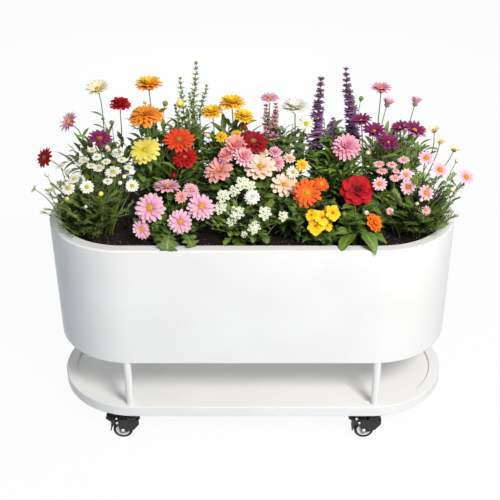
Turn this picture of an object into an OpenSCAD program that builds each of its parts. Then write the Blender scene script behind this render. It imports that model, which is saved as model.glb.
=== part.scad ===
// Raised garden bed: an oblong steel trough full of flowers stands on four posts above a shelf tray,
// which rolls on four braked swivel castors.
// Millimetres. X runs along the bed, the front faces -Y, and the wheels stand on Z = 0.

/* [Trough] */
// Overall length of the trough
trough_l = 990; // [800:5:1200]
// Overall width of the trough
trough_w = 390; // [340:5:460]
// Height of the trough wall
trough_h = 321; // [220:1:420]
// Thickness of the steel sheet in the trough and the shelf
sheet = 1.2; // [0.8:0.1:1.8]
// Width of the rim that is folded inwards
rim_w = 27; // [20:1:36]
// Depth of the rim's turned-down inner edge
rim_return = 12; // [8:0.5:14]
// Outside radius of the rim's outer fold
rim_bend = 4.5; // [3:0.5:7]
// Outside radius of the tight folds
tight_bend = 2.4; // [2:0.1:3]
// Width of the flange under the wall
foot_w = 20; // [19:0.5:24]
// Height of the flange's upturned leg, which carries the floor
foot_h = 13; // [12:0.5:20]
// Diameter of the drain holes
drain_d = 8; // [5:0.5:12]
// Drain holes in each of the two rows
drain_count = 5; // [3:1:7]

/* [Tray] */
// How far the tray stands out past the trough all round
tray_reach = 5; // [2:0.5:12]
// Width of the tray's bent tube
rail_w = 27; // [26:0.5:36]
// Height of the tray's bent tube
rail_h = 30; // [20:1:40]
// Wall of the tray's bent tube
rail_wall = 1.5; // [1:0.1:2.5]
// Corner radius of the tray's bent tube
rail_corner = 2.6; // [2:0.1:4]
// Depth of the shelf panel below the top of the tube
panel_drop = 8; // [4:0.5:12]

/* [Channels] */
// Width of a stiffening channel with its flanges
channel_w = 40; // [30:1:60]
// Depth of a stiffening channel
channel_d = 11; // [8:0.5:12]
// Width of each flange of a channel
channel_flange = 8; // [6:0.5:10]

/* [Posts] */
// Outside diameter of a post
post_d = 19; // [17:0.5:20]
// Wall of a post
post_wall = 1.2; // [1:0.1:1.8]
// Height of a post
post_h = 134; // [80:1:220]
// How far past the end of the trough's straight side each post stands
post_reach = 10; // [-60:5:20]
// How far a post's side lies in from the trough's face
post_edge = 1.5; // [1:0.1:2]
// Length of a threaded plug in a post's end
plug_l = 20; // [14:1:30]
// Thread diameter of the post bolts
bolt_d = 8; // [6:0.5:8]

/* [Castors] */
// Diameter of a wheel
wheel_d = 50; // [40:1:60]
// Width of a tyre
wheel_w = 19; // [16:0.5:24]
// Depth of the rubber on a wheel
tyre_depth = 7; // [5:0.5:8]
// Distance of the axle behind the kingpin
trail = 24; // [22:0.5:28]
// Thickness of the fork's steel
fork_t = 2; // [1.5:0.1:2.5]
// Room between the tyre and each leg of the fork
leg_gap = 1.1; // [0.8:0.1:2]
// Room between the tyre's top and the fork's crown
crown_gap = 8; // [6:0.5:12]
// Diameter of an axle
axle_d = 6; // [5:0.5:7]
// Diameter of a kingpin
kingpin_d = 8; // [7:0.5:9]
// Diameter of a castor's threaded stem
stem_d = 10; // [8:0.5:10]
// Diameter of a bearing ball
ball_d = 4.4; // [3.6:0.1:4.6]
// Bearing balls in each castor
ball_count = 12; // [8:1:14]
// Diameter of the ring on which the ball centres lie
race_d = 20; // [19:0.2:21]
// Room between the tyre and the released brake shoe
shoe_gap = 3.6; // [3.5:0.1:5]
// Diameter of a brake's pivot pin
brake_pin_d = 4; // [3:0.5:4.5]

/* [Fits] */
// Radial room of a turning pin in its bore
running_gap = 0.06; // [0.03:0.01:0.09]
// Room round a piece that is fixed in a hole
fixed_gap = 0.2; // [0.1:0.05:0.3]

/* [Planting] */
// Depth of the soil below the rim
soil_drop = 15; // [13:1:40]
// Thickness of a leaf
leaf_t = 1.6; // [1.2:0.1:2.4]
// Thickness of a layer of petals
petal_t = 2; // [1.4:0.1:3]
// Diameter of a flower's stem
stalk_d = 3; // [2.4:0.1:5]
// Diameter of a plant's crown at the soil
tuft_d = 20; // [16:1:24]
// Height of a plant's crown above the soil
tuft_h = 12; // [8:1:14]

/* [Hidden] */
$fn = 48;

// Cuts run this far past the faces that they open
cut = 1;

// Heights of the castor, from the wheel up
wheel_r = wheel_d / 2;
crown_z = wheel_d + crown_gap;
crown_top = crown_z + fork_t;
ball_plane = crown_top + 4;
race_split = 0.6;
race_top = ball_plane + 5;
boss_h = 6;
castor_h = race_top + boss_h;

// Heights of the frame and the trough
rail_top = castor_h + rail_h;
panel_top = rail_top - panel_drop;
trough_z = rail_top + post_h;
floor_z = trough_z + foot_h;
floor_top = floor_z + sheet;
rim_z = trough_z + trough_h;
soil_top = rim_z - soil_drop;

// The oblong outline: half circles on the ends of two straight sides
trough_r = trough_w / 2;
straight = trough_l - trough_w;
tray_r = trough_r + tray_reach;
post_x = straight / 2 + post_reach;
post_y = trough_r - post_edge - post_d / 2;
CORNERS = [for (side = [-1, 1], end = [-1, 1]) [end * post_x, side * post_y, 0]];
FRONT_LEFT = [-post_x, -post_y, 0];
FRONT_RIGHT = [post_x, -post_y, 0];
REAR_LEFT = [-post_x, post_y, 0];
REAR_RIGHT = [post_x, post_y, 0];

// Parts of the castor
seat_gap = 0.3;
hub_r = wheel_r - tyre_depth;
leg_y = wheel_w / 2 + leg_gap;
fork_y = leg_y + fork_t;
lever_t = 1.6;
lever_y = fork_y + seat_gap;
axle = [-trail, wheel_r];
pivot_angle = 64;
pivot_r = wheel_r + brake_pin_d / 2 + 2.5;
pivot = axle + pivot_r * [-cos(pivot_angle), sin(pivot_angle)];
race_r = race_d / 2 + 3.6;
skirt_t = 1.4;
skirt_r = race_r + 1.4 + skirt_t;
crown_r = skirt_r + 0.4;

// Colours
WHITE = "whitesmoke";
STEEL = "silver";
BLACK = [0.12, 0.12, 0.13];
LEAF = [0.3, 0.45, 0.16];

// A rectangle with round corners, centred on the origin
module round_rect(w, h, r) {
    square([w - 2 * r, h], center = true);
    square([w, h - 2 * r], center = true);
    for (x = [-1, 1], y = [-1, 1])
        translate([x * (w / 2 - r), y * (h / 2 - r)])
            circle(r);
}

// A filled oblong with end arcs of radius r
module oblong(r) {
    square([straight, 2 * r], center = true);
    for (end = [-1, 1])
        translate([end * straight / 2, 0])
            circle(r, $fn = 96);
}

// Carries a profile round the oblong: its X is the distance from the long axis and its Y is the height
module oblong_sweep() {
    for (end = [-1, 1])
        translate([end * straight / 2, 0, 0])
            rotate([0, 0, -90 * end])
                rotate_extrude(angle = 180, $fn = 96)
                    children();
    for (side = [0, 1])
        mirror([0, side, 0])
            translate([-straight / 2, 0, 0])
                rotate([90, 0, 90])
                    linear_extrude(straight)
                        children();
}

// A quarter of a folded sheet round the origin, in the quadrant that the two signs give
module fold(r, sx, sy) {
    intersection() {
        difference() {
            circle(r);
            circle(r - sheet);
        }
        translate([min(0, sx * r), min(0, sy * r)])
            square(r);
    }
}

// A standing leg of sheet from one height to another, its left face at x
module upright(x, low, high) {
    translate([x, low])
        square([sheet, high - low]);
}

// A lying flange of sheet from one distance to another, its underside at z
module level(inner, outer, z) {
    translate([inner, z])
        square([outer - inner, sheet]);
}

// The trough's wall in section, from its upturned foot to the turned-down edge of its rim
module wall_section() {
    foot_in = trough_r - foot_w;
    rim_in = trough_r - rim_w;
    upright(foot_in, trough_z + tight_bend, floor_z);
    translate([foot_in + tight_bend, trough_z + tight_bend])
        fold(tight_bend, -1, -1);
    level(foot_in + tight_bend, trough_r - tight_bend, trough_z);
    translate([trough_r - tight_bend, trough_z + tight_bend])
        fold(tight_bend, 1, -1);
    upright(trough_r - sheet, trough_z + tight_bend, rim_z - rim_bend);
    translate([trough_r - rim_bend, rim_z - rim_bend])
        fold(rim_bend, 1, 1);
    level(rim_in + tight_bend, trough_r - rim_bend, rim_z - sheet);
    translate([rim_in + tight_bend, rim_z - tight_bend])
        fold(tight_bend, -1, 1);
    upright(rim_in, rim_z - rim_return, rim_z - tight_bend);
}

// A hole for each post bolt or castor stem
module corner_holes(d, low, high) {
    for (corner = CORNERS)
        translate(corner + [0, 0, low - cut])
            cylinder(h = high - low + 2 * cut, d = d);
}

module trough_wall() {
    color(WHITE)
        difference() {
            oblong_sweep()
                wall_section();
            corner_holes(bolt_d + 2 * fixed_gap, trough_z, trough_z + sheet);
        }
}

module trough_floor() {
    drain_pitch = straight / (drain_count - 1);
    color(WHITE)
        difference() {
            translate([0, 0, floor_z])
                linear_extrude(sheet)
                    oblong(trough_r - sheet - fixed_gap);
            corner_holes(bolt_d + 2 * fixed_gap, floor_z, floor_top);
            for (side = [-1, 1], i = [0:drain_count - 1])
                translate([(i - (drain_count - 1) / 2) * drain_pitch, side * trough_r / 2, floor_z - cut])
                    cylinder(h = sheet + 2 * cut, d = drain_d);
        }
}

// A hat channel in section, hanging from the sheet above it
module hat_section() {
    web = channel_w - 2 * channel_flange;
    difference() {
        union() {
            translate([-channel_w / 2, -sheet])
                square([channel_w, sheet]);
            translate([-web / 2, -channel_d])
                square([web, channel_d]);
        }
        translate([-web / 2 + sheet, sheet - channel_d])
            square([web - 2 * sheet, channel_d]);
    }
}

// Three channels across the bed under a sheet at height z, each ending at half-length reach
module cross_channels(z, reach) {
    outer = straight / 2 - channel_w / 2 - 10;
    for (x = [-outer, 0, outer])
        translate([x, reach, z])
            rotate([90, 0, 0])
                linear_extrude(2 * reach)
                    hat_section();
}

module floor_channels() {
    color(WHITE)
        cross_channels(floor_z, trough_r - foot_w - fixed_gap);
}

module post(corner) {
    color(WHITE)
        translate(corner + [0, 0, rail_top])
            difference() {
                cylinder(h = post_h, d = post_d);
                translate([0, 0, -cut])
                    cylinder(h = post_h + 2 * cut, d = post_d - 2 * post_wall);
            }
}

// Threaded plugs in both ends of each post
module post_plugs() {
    plug_d = post_d - 2 * post_wall - fixed_gap;
    color(STEEL)
        for (corner = CORNERS) {
            translate(corner + [0, 0, trough_z - plug_l])
                ring(plug_l, plug_d, bolt_d + fixed_gap);
            translate(corner + [0, 0, rail_top])
                ring(plug_l, plug_d, stem_d + fixed_gap);
        }
}

// A plain bush
module ring(h, outer, inner) {
    difference() {
        cylinder(h = h, d = outer);
        translate([0, 0, -cut])
            cylinder(h = h + 2 * cut, d = inner);
    }
}

// Distance tubes round the post bolts, between the wall's flange and the floor
module post_spacers() {
    color(STEEL)
        for (corner = CORNERS)
            translate(corner + [0, 0, trough_z + sheet])
                ring(foot_h - sheet, bolt_d + 6, bolt_d + 2 * fixed_gap);
}

// Bolts from inside the trough down into the upper plugs
module post_bolts() {
    grip = 14;
    bottom = trough_z - grip;
    color(STEEL)
        for (corner = CORNERS)
            translate(corner) {
                translate([0, 0, bottom])
                    cylinder(h = floor_top - bottom, d = bolt_d);
                translate([0, 0, floor_top])
                    cylinder(h = 0.65 * bolt_d, d = 1.85 * bolt_d, $fn = 6);
            }
}

module tray_rail() {
    color(WHITE)
        difference() {
            oblong_sweep()
                translate([tray_r - rail_w / 2, castor_h + rail_h / 2])
                    difference() {
                        round_rect(rail_w, rail_h, rail_corner);
                        round_rect(rail_w - 2 * rail_wall, rail_h - 2 * rail_wall,
                                   rail_corner - rail_wall / 2);
                    }
            corner_holes(stem_d + 2 * fixed_gap, castor_h, rail_top);
        }
}

module shelf_panel() {
    color(WHITE)
        translate([0, 0, panel_top - sheet])
            linear_extrude(sheet)
                oblong(tray_r - rail_w - fixed_gap);
}

module shelf_channels() {
    color(WHITE)
        cross_channels(panel_top - sheet, tray_r - rail_w - fixed_gap);
}

// The soil fills the trough round the bolt heads
module soil() {
    color([0.16, 0.11, 0.08])
        difference() {
            translate([0, 0, floor_top])
                linear_extrude(soil_top - floor_top)
                    oblong(trough_r - sheet - seat_gap);
            for (corner = CORNERS)
                translate(corner + [0, 0, floor_top - cut])
                    cylinder(h = 0.65 * bolt_d + 2 * cut, d = 2.1 * bolt_d);
        }
}

// The fixed centre of a castor: peened kingpin, hexagon boss and threaded stem in one
module castor_stems() {
    head_h = 2.8;
    stem_top = rail_top + plug_l - 3;
    color(STEEL)
        for (corner = CORNERS)
            translate(corner) {
                translate([0, 0, crown_z - head_h - fixed_gap])
                    cylinder(h = head_h, d1 = kingpin_d + 2, d2 = kingpin_d + 5);
                translate([0, 0, crown_z - head_h])
                    cylinder(h = race_top - crown_z + head_h, d = kingpin_d);
                translate([0, 0, race_top])
                    cylinder(h = boss_h, d = 19.6, $fn = 6);
                translate([0, 0, castor_h])
                    cylinder(h = stem_top - castor_h, d = stem_d);
            }
}

// The round track in which the balls run
module ball_track() {
    translate([0, 0, ball_plane])
        rotate_extrude()
            translate([race_d / 2, 0])
                circle(d = ball_d + 2 * running_gap);
}

// The fixed upper race, with a dust skirt round the balls
module upper_races() {
    plate_h = 3;
    color(BLACK)
        for (corner = CORNERS)
            translate(corner)
                difference() {
                    union() {
                        translate([0, 0, race_top - plate_h])
                            cylinder(h = plate_h, r = skirt_r);
                        translate([0, 0, ball_plane + race_split])
                            cylinder(h = race_top - ball_plane - race_split, r = race_r);
                        translate([0, 0, crown_top + 1.4])
                            difference() {
                                cylinder(h = race_top - crown_top - 2, r = skirt_r);
                                translate([0, 0, -cut])
                                    cylinder(h = race_top - crown_top, r = skirt_r - skirt_t);
                            }
                    }
                    ball_track();
                    translate([0, 0, crown_z])
                        cylinder(h = race_top - crown_z + cut, d = kingpin_d + 2 * running_gap);
                }
}

module race_balls() {
    color(STEEL)
        for (corner = CORNERS, i = [0:ball_count - 1])
            translate(corner + [0, 0, ball_plane])
                rotate([0, 0, i * 360 / ball_count])
                    translate([race_d / 2, 0, 0])
                        sphere(d = ball_d);
}

// Extrudes an outline in X and Z across the wheel, between two distances from its middle
module across(inner, outer) {
    for (side = [0, 1])
        mirror([0, side, 0])
            translate([0, outer, 0])
                rotate([90, 0, 0])
                    linear_extrude(outer - inner)
                        children();
}

// One leg of the fork, from the crown down to the round end at the axle
module leg_outline() {
    tip_r = 7.5;
    back = -trail - 18;
    front = 19;
    polygon([
        [front, crown_top], [front, crown_z - 12], [front - 14, wheel_r + 3],
        [axle.x + 3, axle.y - tip_r + 1], [axle.x - 6, axle.y - 2],
        [axle.x - 10, axle.y + 13], [back + 2, crown_z - 13], [back, crown_z - 4], [back, crown_top]
    ]);
    translate(axle)
        circle(tip_r);
}

module fork(corner) {
    lower_race = ball_plane - race_split - crown_top;
    color(BLACK)
        translate(corner)
            difference() {
                union() {
                    across(leg_y, fork_y)
                        leg_outline();
                    translate([-trail - 9, -leg_y - cut / 2, crown_z])
                        cube([trail + 28, 2 * leg_y + cut, fork_t]);
                    translate([0, 0, crown_z])
                        cylinder(h = fork_t, r = crown_r);
                    translate([0, 0, crown_top])
                        cylinder(h = lower_race, r = race_r);
                }
                ball_track();
                translate([0, 0, crown_z - cut])
                    cylinder(h = lower_race + fork_t + 2 * cut, d = kingpin_d + 2 * running_gap);
                cross_bore(axle, axle_d + fixed_gap);
                cross_bore(pivot, brake_pin_d + fixed_gap);
            }
}

// A bore across the fork at a point in X and Z
module cross_bore(at, d) {
    translate([at.x, fork_y + 4, at.y])
        rotate([90, 0, 0])
            cylinder(h = 2 * fork_y + 8, d = d);
}

// A pin across the fork with a low head on the -Y side and a nut or rivet on the other
module cross_pin(at, d, reach, head_d, head_h, nut_d, nut_h, nut_sides) {
    translate([at.x, reach, at.y])
        rotate([90, 0, 0]) {
            cylinder(h = 2 * reach, d = d);
            translate([0, 0, 2 * reach])
                cylinder(h = head_h, d1 = head_d, d2 = 0.7 * head_d);
            translate([0, 0, -nut_h])
                cylinder(h = nut_h, d = nut_d, $fn = nut_sides);
        }
}

module axle_pin(corner) {
    color(STEEL)
        translate(corner)
            cross_pin(axle, axle_d, fork_y, axle_d + 5, 2.4, 11.5, 4.5, 6);
}

module brake_pin(corner) {
    color(STEEL)
        translate(corner)
            cross_pin(pivot, brake_pin_d, lever_y + lever_t + fixed_gap, brake_pin_d + 3, 1.4,
                      brake_pin_d + 3, 1.2, 24);
}

// The hub's section has a boss, a raised ring and a rim on each face: X is the radius, Y runs along the axle
module hub_section() {
    face = wheel_w / 2 - 0.6;
    bore_r = axle_d / 2 + running_gap;
    boss_r = axle_d / 2 + 3.6;
    side = [
        [bore_r, leg_y - seat_gap], [boss_r, leg_y - seat_gap],
        [boss_r + 0.6, face - 2.2], [boss_r + 3, face - 2.6], [boss_r + 3.4, face - 1],
        [boss_r + 5, face - 1], [boss_r + 5.4, face - 2.2], [hub_r - 3.4, face - 2.2],
        [hub_r - 2.8, face], [hub_r, face]
    ];
    polygon(concat(side, [for (i = [len(side) - 1:-1:0]) [side[i].x, -side[i].y]]));
}

module hub(corner) {
    color("gainsboro")
        on_axle(corner)
            hub_section();
}

// Turns a section round the axle
module on_axle(corner) {
    translate(corner + [axle.x, 0, axle.y])
        rotate([90, 0, 0])
            rotate_extrude($fn = 72)
                children();
}

module tyre(corner) {
    shoulder = 3;
    color(BLACK)
        on_axle(corner)
            difference() {
                translate([wheel_r - tyre_depth, 0])
                    round_rect(2 * tyre_depth, wheel_w, shoulder);
                translate([0, -wheel_w])
                    square([hub_r + 0.05, 2 * wheel_w]);
            }
}

// The curved brake shoe just outside the tyre
module shoe_outline() {
    low = 4;
    high = 46;
    far = 2 * wheel_r;
    inner = wheel_r + shoe_gap;
    translate(axle)
        intersection() {
            difference() {
                circle(inner + 3);
                circle(inner);
            }
            polygon([[0, 0], far * [-cos(low), sin(low)], far * [-cos(high), sin(high)]]);
        }
}

// The cheek of the brake lever, from the pivot to the toe pedal and the shoe
module cheek_outline() {
    shoe_r = wheel_r + shoe_gap + 1.5;
    translate(pivot)
        circle(4.6);
    polygon([
        pivot + [1, -4.4], pivot + [1, 4.4], pivot + [-9, 9], pivot + [-22, 13.2],
        pivot + [-23, 10.4], pivot + [-15, 4],
        axle + (shoe_r + 1.4) * [-cos(20), sin(20)],
        axle + (shoe_r - 0.6) * [-cos(20), sin(20)],
        axle + (shoe_r - 0.6) * [-cos(44), sin(44)]
    ]);
}

// The toe pedal, with a lip turned up at its end
module pedal_outline() {
    polygon([
        pivot + [-10.5, 7.4], pivot + [-9.5, 9.2], pivot + [-22, 13.2],
        pivot + [-27, 16], pivot + [-28, 14.4], pivot + [-22.6, 11.2]
    ]);
}

module brake_lever(corner) {
    color(BLACK)
        translate(corner)
            difference() {
                union() {
                    across(lever_y, lever_y + lever_t)
                        cheek_outline();
                    across(0, lever_y + lever_t)
                        shoe_outline();
                    across(0, lever_y + lever_t)
                        pedal_outline();
                }
                translate([pivot.x, lever_y + 2 * lever_t, pivot.y])
                    rotate([90, 0, 0])
                        cylinder(h = 2 * lever_y + 4 * lever_t, d = brake_pin_d + 2 * running_gap);
            }
}

// The bed that the planting below was laid out for, and how much the real bed differs from it
plan_l = 936;
plan_w = 336;
bed_fit = [(trough_l - 2 * rim_w) / plan_l, (trough_w - 2 * rim_w) / plan_w];
plant_scale = min(bed_fit.x, bed_fit.y);
end_x = 512;

// Sets a plant of the plan in the bed: a larger bed spreads the plants, a smaller one has smaller plants
module plant(middle) {
    translate([middle.x * bed_fit.x, middle.y * bed_fit.y, soil_top])
        scale(plant_scale)
            translate([-middle.x, -middle.y, 0])
                children();
}

// A crown at the soil; stems and leaves inside it grow from this place
module tuft(place) {
    $tuft = [place.x, place.y, 0];
    color(LEAF)
        translate($tuft)
            cylinder(h = tuft_h, d = tuft_d, $fn = 10);
    children();
}

// The direction in which a head faces, leaning by tilt towards the compass angle turn
function facing(tilt, turn) = [sin(tilt) * cos(turn), sin(tilt) * sin(turn), cos(tilt)];

// A round rod between two points
module rod(from, to, d) {
    run = to - from;
    translate(from)
        rotate([0, acos(run.z / norm(run)), atan2(run.y, run.x)])
            cylinder(h = norm(run), d = d, $fn = 6);
}

// A stem from the crown to a point; it leaves the crown a little towards the side that it grows to
module stalk(to) {
    lean = [to.x - $tuft.x, to.y - $tuft.y, 0];
    foot = $tuft + [0, 0, tuft_h / 2] + lean * min(0.12, 0.3 * tuft_d / max(1, norm(lean)));
    color(LEAF)
        rod(foot, to, stalk_d);
}

// One side of a leaf: half-widths at even steps, with lobes where notch is under 1
function leaf_side(l, w, steps, notch) =
    [for (i = [1:steps - 1])
        [l * i / steps, w / 2 * sin(180 * i / steps) * (i % 2 == 0 ? notch : 1)]];

// A leaf outline along +X, pointed at both ends
module leaf_outline(l, w, steps, notch) {
    side = leaf_side(l, w, steps, notch);
    other = [for (i = [len(side) - 1:-1:0]) [side[i].x, -side[i].y]];
    polygon(concat([[0, 0.8]], side, [[l, 0]], other, [[0, -0.8]]));
}

// How far each leaf rolls about its midrib, so that neighbours don't meet edge to edge
leaf_roll = 9;

// A ring of leaves round the plant's middle, at a height and rising by lift degrees
module leaf_ring(count, l, w, lift, turn, height, start, steps, notch) {
    for (i = [0:count - 1])
        translate($tuft + [0, 0, height])
            rotate([0, 0, turn + i * 360 / count])
                translate([start, 0, 0])
                    rotate([leaf_roll, -lift, 0])
                        linear_extrude(leaf_t)
                            leaf_outline(l, w, steps, notch);
}

// A leafy middle stem: tiers of leaves that grow steeper and shorter up to the height rise
module foliage(rise, l, w, count = 6, tiers = 3, steps = 4, notch = 1, lift = 26) {
    color(LEAF) {
        rod($tuft, $tuft + [0, 0, rise], stalk_d + 1.5);
        for (i = [0:tiers - 1])
            leaf_ring(count, l * (1 - 0.5 * i / tiers), w, lift + 44 * i / tiers, i * 180 / count,
                      0.55 * tuft_h + (rise - tuft_h) * i / tiers,
                      i == 0 ? 0.25 * tuft_d : 0.3 * stalk_d, steps, notch);
    }
}

// A large leaf on its own stem, lying out over the rim
module low_leaf(place, turn, l, w, steps = 4, notch = 1) {
    root = [place.x, place.y, soil_drop / plant_scale + 15];
    stalk(root);
    color(LEAF)
        translate(root)
            rotate([0, 4, turn])
                translate([-3, 0, -leaf_t])
                    linear_extrude(leaf_t)
                        leaf_outline(l, w, steps, notch);
}

// The outline of a ring of petals: a notch and a blunt tip for each petal
function petal_points(r, petals) = [
    for (i = [0:petals - 1], p = [[-0.5, 0.5], [-0.2, 0.98], [0.2, 0.98]])
        r * p[1] * [cos((i + p[0]) * 360 / petals), sin((i + p[0]) * 360 / petals)]
];

// A flower head on its stem: a green cup, layers of petals and an eye
module bloom(at, r, petals, tilt, turn, ink, eye = "gold", layers = 1, eye_share = 0.24) {
    aim = facing(tilt, turn);
    cup_h = 0.3 * r;
    stalk(at - aim * (cup_h - 1));
    translate(at)
        rotate([0, tilt, turn]) {
            color(LEAF) {
                translate([0, 0, -cup_h])
                    cylinder(h = cup_h, r = 0.2 * r, $fn = 8);
                translate([0, 0, -cup_h / 2])
                    cylinder(h = cup_h / 2 + 0.5, r = 0.33 * r, $fn = 8);
            }
            color(ink)
                for (i = [0:layers - 1])
                    translate([0, 0, i * (petal_t - 0.3)])
                        rotate([0, 0, i * 180 / petals])
                            linear_extrude(petal_t)
                                polygon(petal_points(r * (1 - 0.22 * i), petals));
            color(eye)
                cylinder(h = (layers + 0.7) * petal_t, r = eye_share * r, $fn = 12);
        }
}

// A closed bud on its stem
module bud(at, r, ink) {
    stalk(at);
    color(ink)
        translate(at)
            sphere(r, $fn = 24);
}

// A round head of small florets
module floret_head(at, r, ink) {
    stalk(at);
    color(ink)
        translate(at) {
            cylinder(h = 0.3 * r, r = 0.62 * r, $fn = 9);
            cylinder(h = 0.55 * r, r = 0.3 * r, $fn = 7);
            for (i = [0:5])
                rotate([0, 0, i * 60])
                    translate([0.64 * r, 0, -0.1 * r])
                        cylinder(h = 0.5 * r, r = 0.32 * r, $fn = 7);
        }
}

// A tall spike: whorls that grow smaller towards the tip
module spike(top, r, run, whorls, ink) {
    base = [$tuft.x + 0.75 * (top.x - $tuft.x), $tuft.y + 0.75 * (top.y - $tuft.y), top.z - run];
    stalk(base + [0, 0, 1]);
    color(LEAF)
        rod(base, top, stalk_d);
    color(ink)
        for (i = [0:whorls - 1])
            translate(base + (top - base) * (i + 0.5) / whorls)
                cylinder(h = 0.62 * run / whorls, r1 = stalk_d / 2 + 1,
                         r2 = r * (1 - 0.6 * i / whorls));
}

module white_daisies() {
    plant([-388, -80])
        tuft([-388, -80]) {
            foliage(116, 84, 22, 6, 4, steps = 5, notch = 0.45);
            bloom([-440, -88, 128], 19, 9, 45, -100, "white");
            bloom([-388, -98, 132], 18, 9, 45, -80, "white");
            bloom([-416, -45, 165], 15, 9, 30, -120, "white");
            bloom([-482, -64, 100], 14, 8, 60, 200, "white");
            bloom([-350, -70, 160], 20, 9, 40, -90, "white");
            bloom([-324, -84, 135], 17, 9, 45, -80, "white");
            bloom([-368, -34, 180], 15, 9, 25, -60, "white");
            bud([-432, -118, 88], 8, "khaki");
            bud([-350, -122, 100], 8, "khaki");
        }
}

module pink_daisies() {
    plant([-195, -112])
        tuft([-195, -105]) {
            foliage(84, 58, 36, 5, 4);
            low_leaf([-218, -138], -92, 56, 44, 6, 0.8);
            bloom([-236, -120, 92], 36, 10, 52, -95, "pink", "gold", 2);
            bloom([-204, -92, 128], 33, 10, 8, 90, "pink", "gold", 2);
            bloom([-170, -142, 72], 31, 10, 58, -85, "pink", "gold", 1);
            bloom([-126, -122, 94], 32, 10, 48, -75, "pink", "gold", 2);
            bloom([-254, -138, 58], 23, 9, 60, -120, "pink", "gold", 1);
            bloom([-150, -84, 124], 20, 9, 40, -60, "pink", "gold", 1);
        }
}

module candytuft() {
    plant([-20, -115])
        tuft([-18, -112]) {
            foliage(84, 62, 20, 5, 4, steps = 4, notch = 0.6, lift = 22);
            floret_head([-6, -92, 136], 22, "ivory");
            floret_head([-60, -110, 124], 20, "ivory");
            floret_head([-38, -136, 78], 18, "ivory");
            floret_head([0, -142, 58], 17, "ivory");
            floret_head([30, -124, 90], 17, "ivory");
            bloom([-8, -112, 112], 20, 10, 40, -90, "ivory", "ivory", 2);
        }
}

module violas() {
    plant([165, -138])
        tuft([165, -132]) {
            foliage(48, 32, 20, 5, 3);
            bloom([148, -146, 62], 24, 5, 55, -95, "yellow", "orange");
            bloom([182, -142, 76], 19, 5, 55, -80, "yellow", "orange");
        }
}

module orange_daisies() {
    plant([118, -78])
        tuft([112, -84]) {
            foliage(92, 50, 30, 5, 5);
            bloom([125, -78, 106], 37, 11, 52, -90, "orangered", "gold", 2);
            bloom([152, -66, 120], 24, 8, 40, -60, "darkorange", "gold");
        }
}

module red_zinnias() {
    plant([250, -110])
        tuft([252, -108]) {
            foliage(88, 56, 32, 5, 4);
            low_leaf([238, -140], -104, 58, 32);
            low_leaf([262, -140], -72, 58, 32);
            bloom([245, -76, 104], 36, 8, 40, -92, "crimson", "darkred", 2);
            bloom([280, -138, 60], 25, 9, 55, -85, "darkorange", "gold", 2);
            bud([266, -132, 84], 7, "orange");
        }
}

module pale_pink_daisies() {
    plant([388, -80])
        tuft([388, -80]) {
            foliage(122, 84, 22, 6, 4, steps = 5, notch = 0.45);
            bloom([398, -104, 120], 19, 9, 45, -90, "lightpink");
            bloom([404, -46, 182], 17, 9, 45, -70, "lightpink");
            bloom([440, -50, 152], 17, 9, 45, -60, "lightpink");
            bloom([end_x, -55, 130], 22, 10, 58, -40, "lightpink");
            bloom([442, -112, 84], 13, 8, 50, -80, "lightpink");
            bloom([356, -108, 134], 19, 9, 45, -90, "lightpink");
            bloom([360, -66, 160], 17, 9, 30, -90, "lightpink");
            bloom([318, -82, 150], 17, 9, 30, -100, "lightpink");
            bloom([344, -128, 78], 12, 8, 50, -90, "lightpink");
        }
}

module gerberas() {
    plant([-205, -15]) {
        tuft([-238, -12]) {
            foliage(158, 52, 34, 4, 5);
            bloom([-252, -22, 188], 35, 12, 42, -110, "khaki", "goldenrod", 2);
            bloom([-247, -12, 268], 38, 12, 10, -110, "orange", "saddlebrown", 2);
        }
        tuft([-162, -14]) {
            foliage(146, 50, 34, 4, 5);
            bloom([-174, -12, 210], 34, 12, 40, -88, "tomato", "goldenrod", 2);
            bloom([-160, -32, 170], 27, 10, 38, -90, "firebrick", "goldenrod", 2);
            bud([-186, -34, 128], 8, "firebrick");
        }
    }
}

module chrysanthemums() {
    plant([0, -18]) {
        tuft([-52, -16]) {
            foliage(130, 52, 32, 4, 4);
            bloom([-42, -8, 192], 27, 11, 34, -95, "lightcoral", "pink", 3);
            bloom([-80, -34, 146], 32, 10, 36, -115, "salmon", "gold", 2);
            bloom([-32, -30, 166], 22, 10, 45, -80, "pink", "pink", 2);
        }
        tuft([32, -16]) {
            foliage(122, 54, 32, 4, 4);
            bloom([2, 6, 200], 34, 12, 36, -90, "darkred", "goldenrod", 2);
            bloom([15, -32, 148], 34, 11, 50, -90, "peachpuff", "gold", 2);
            bloom([70, -26, 104], 32, 10, 52, -85, "peachpuff", "gold", 2);
            bloom([92, -10, 140], 17, 9, 40, -70, "moccasin", "gold");
            bud([56, 0, 150], 10, "lightcoral");
        }
    }
}

module pink_zinnia() {
    plant([200, 0])
        tuft([200, 0]) {
            foliage(146, 50, 27, 4, 5);
            bloom([216, -4, 186], 31, 12, 36, -90, "hotpink", "pink", 3);
            bloom([166, -2, 150], 18, 9, 35, -90, "gold", "gold", 2);
        }
}

module magenta_daisies() {
    plant([318, 14])
        tuft([322, 14]) {
            foliage(168, 56, 20, 5, 5);
            bloom([276, 16, 222], 25, 10, 20, -150, "mediumvioletred");
            bloom([312, 4, 200], 23, 10, 20, -100, "mediumvioletred");
            bloom([344, 20, 228], 21, 9, 20, -80, "mediumvioletred");
            bloom([374, 14, 214], 22, 9, 24, -40, "palevioletred");
        }
}

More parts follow.
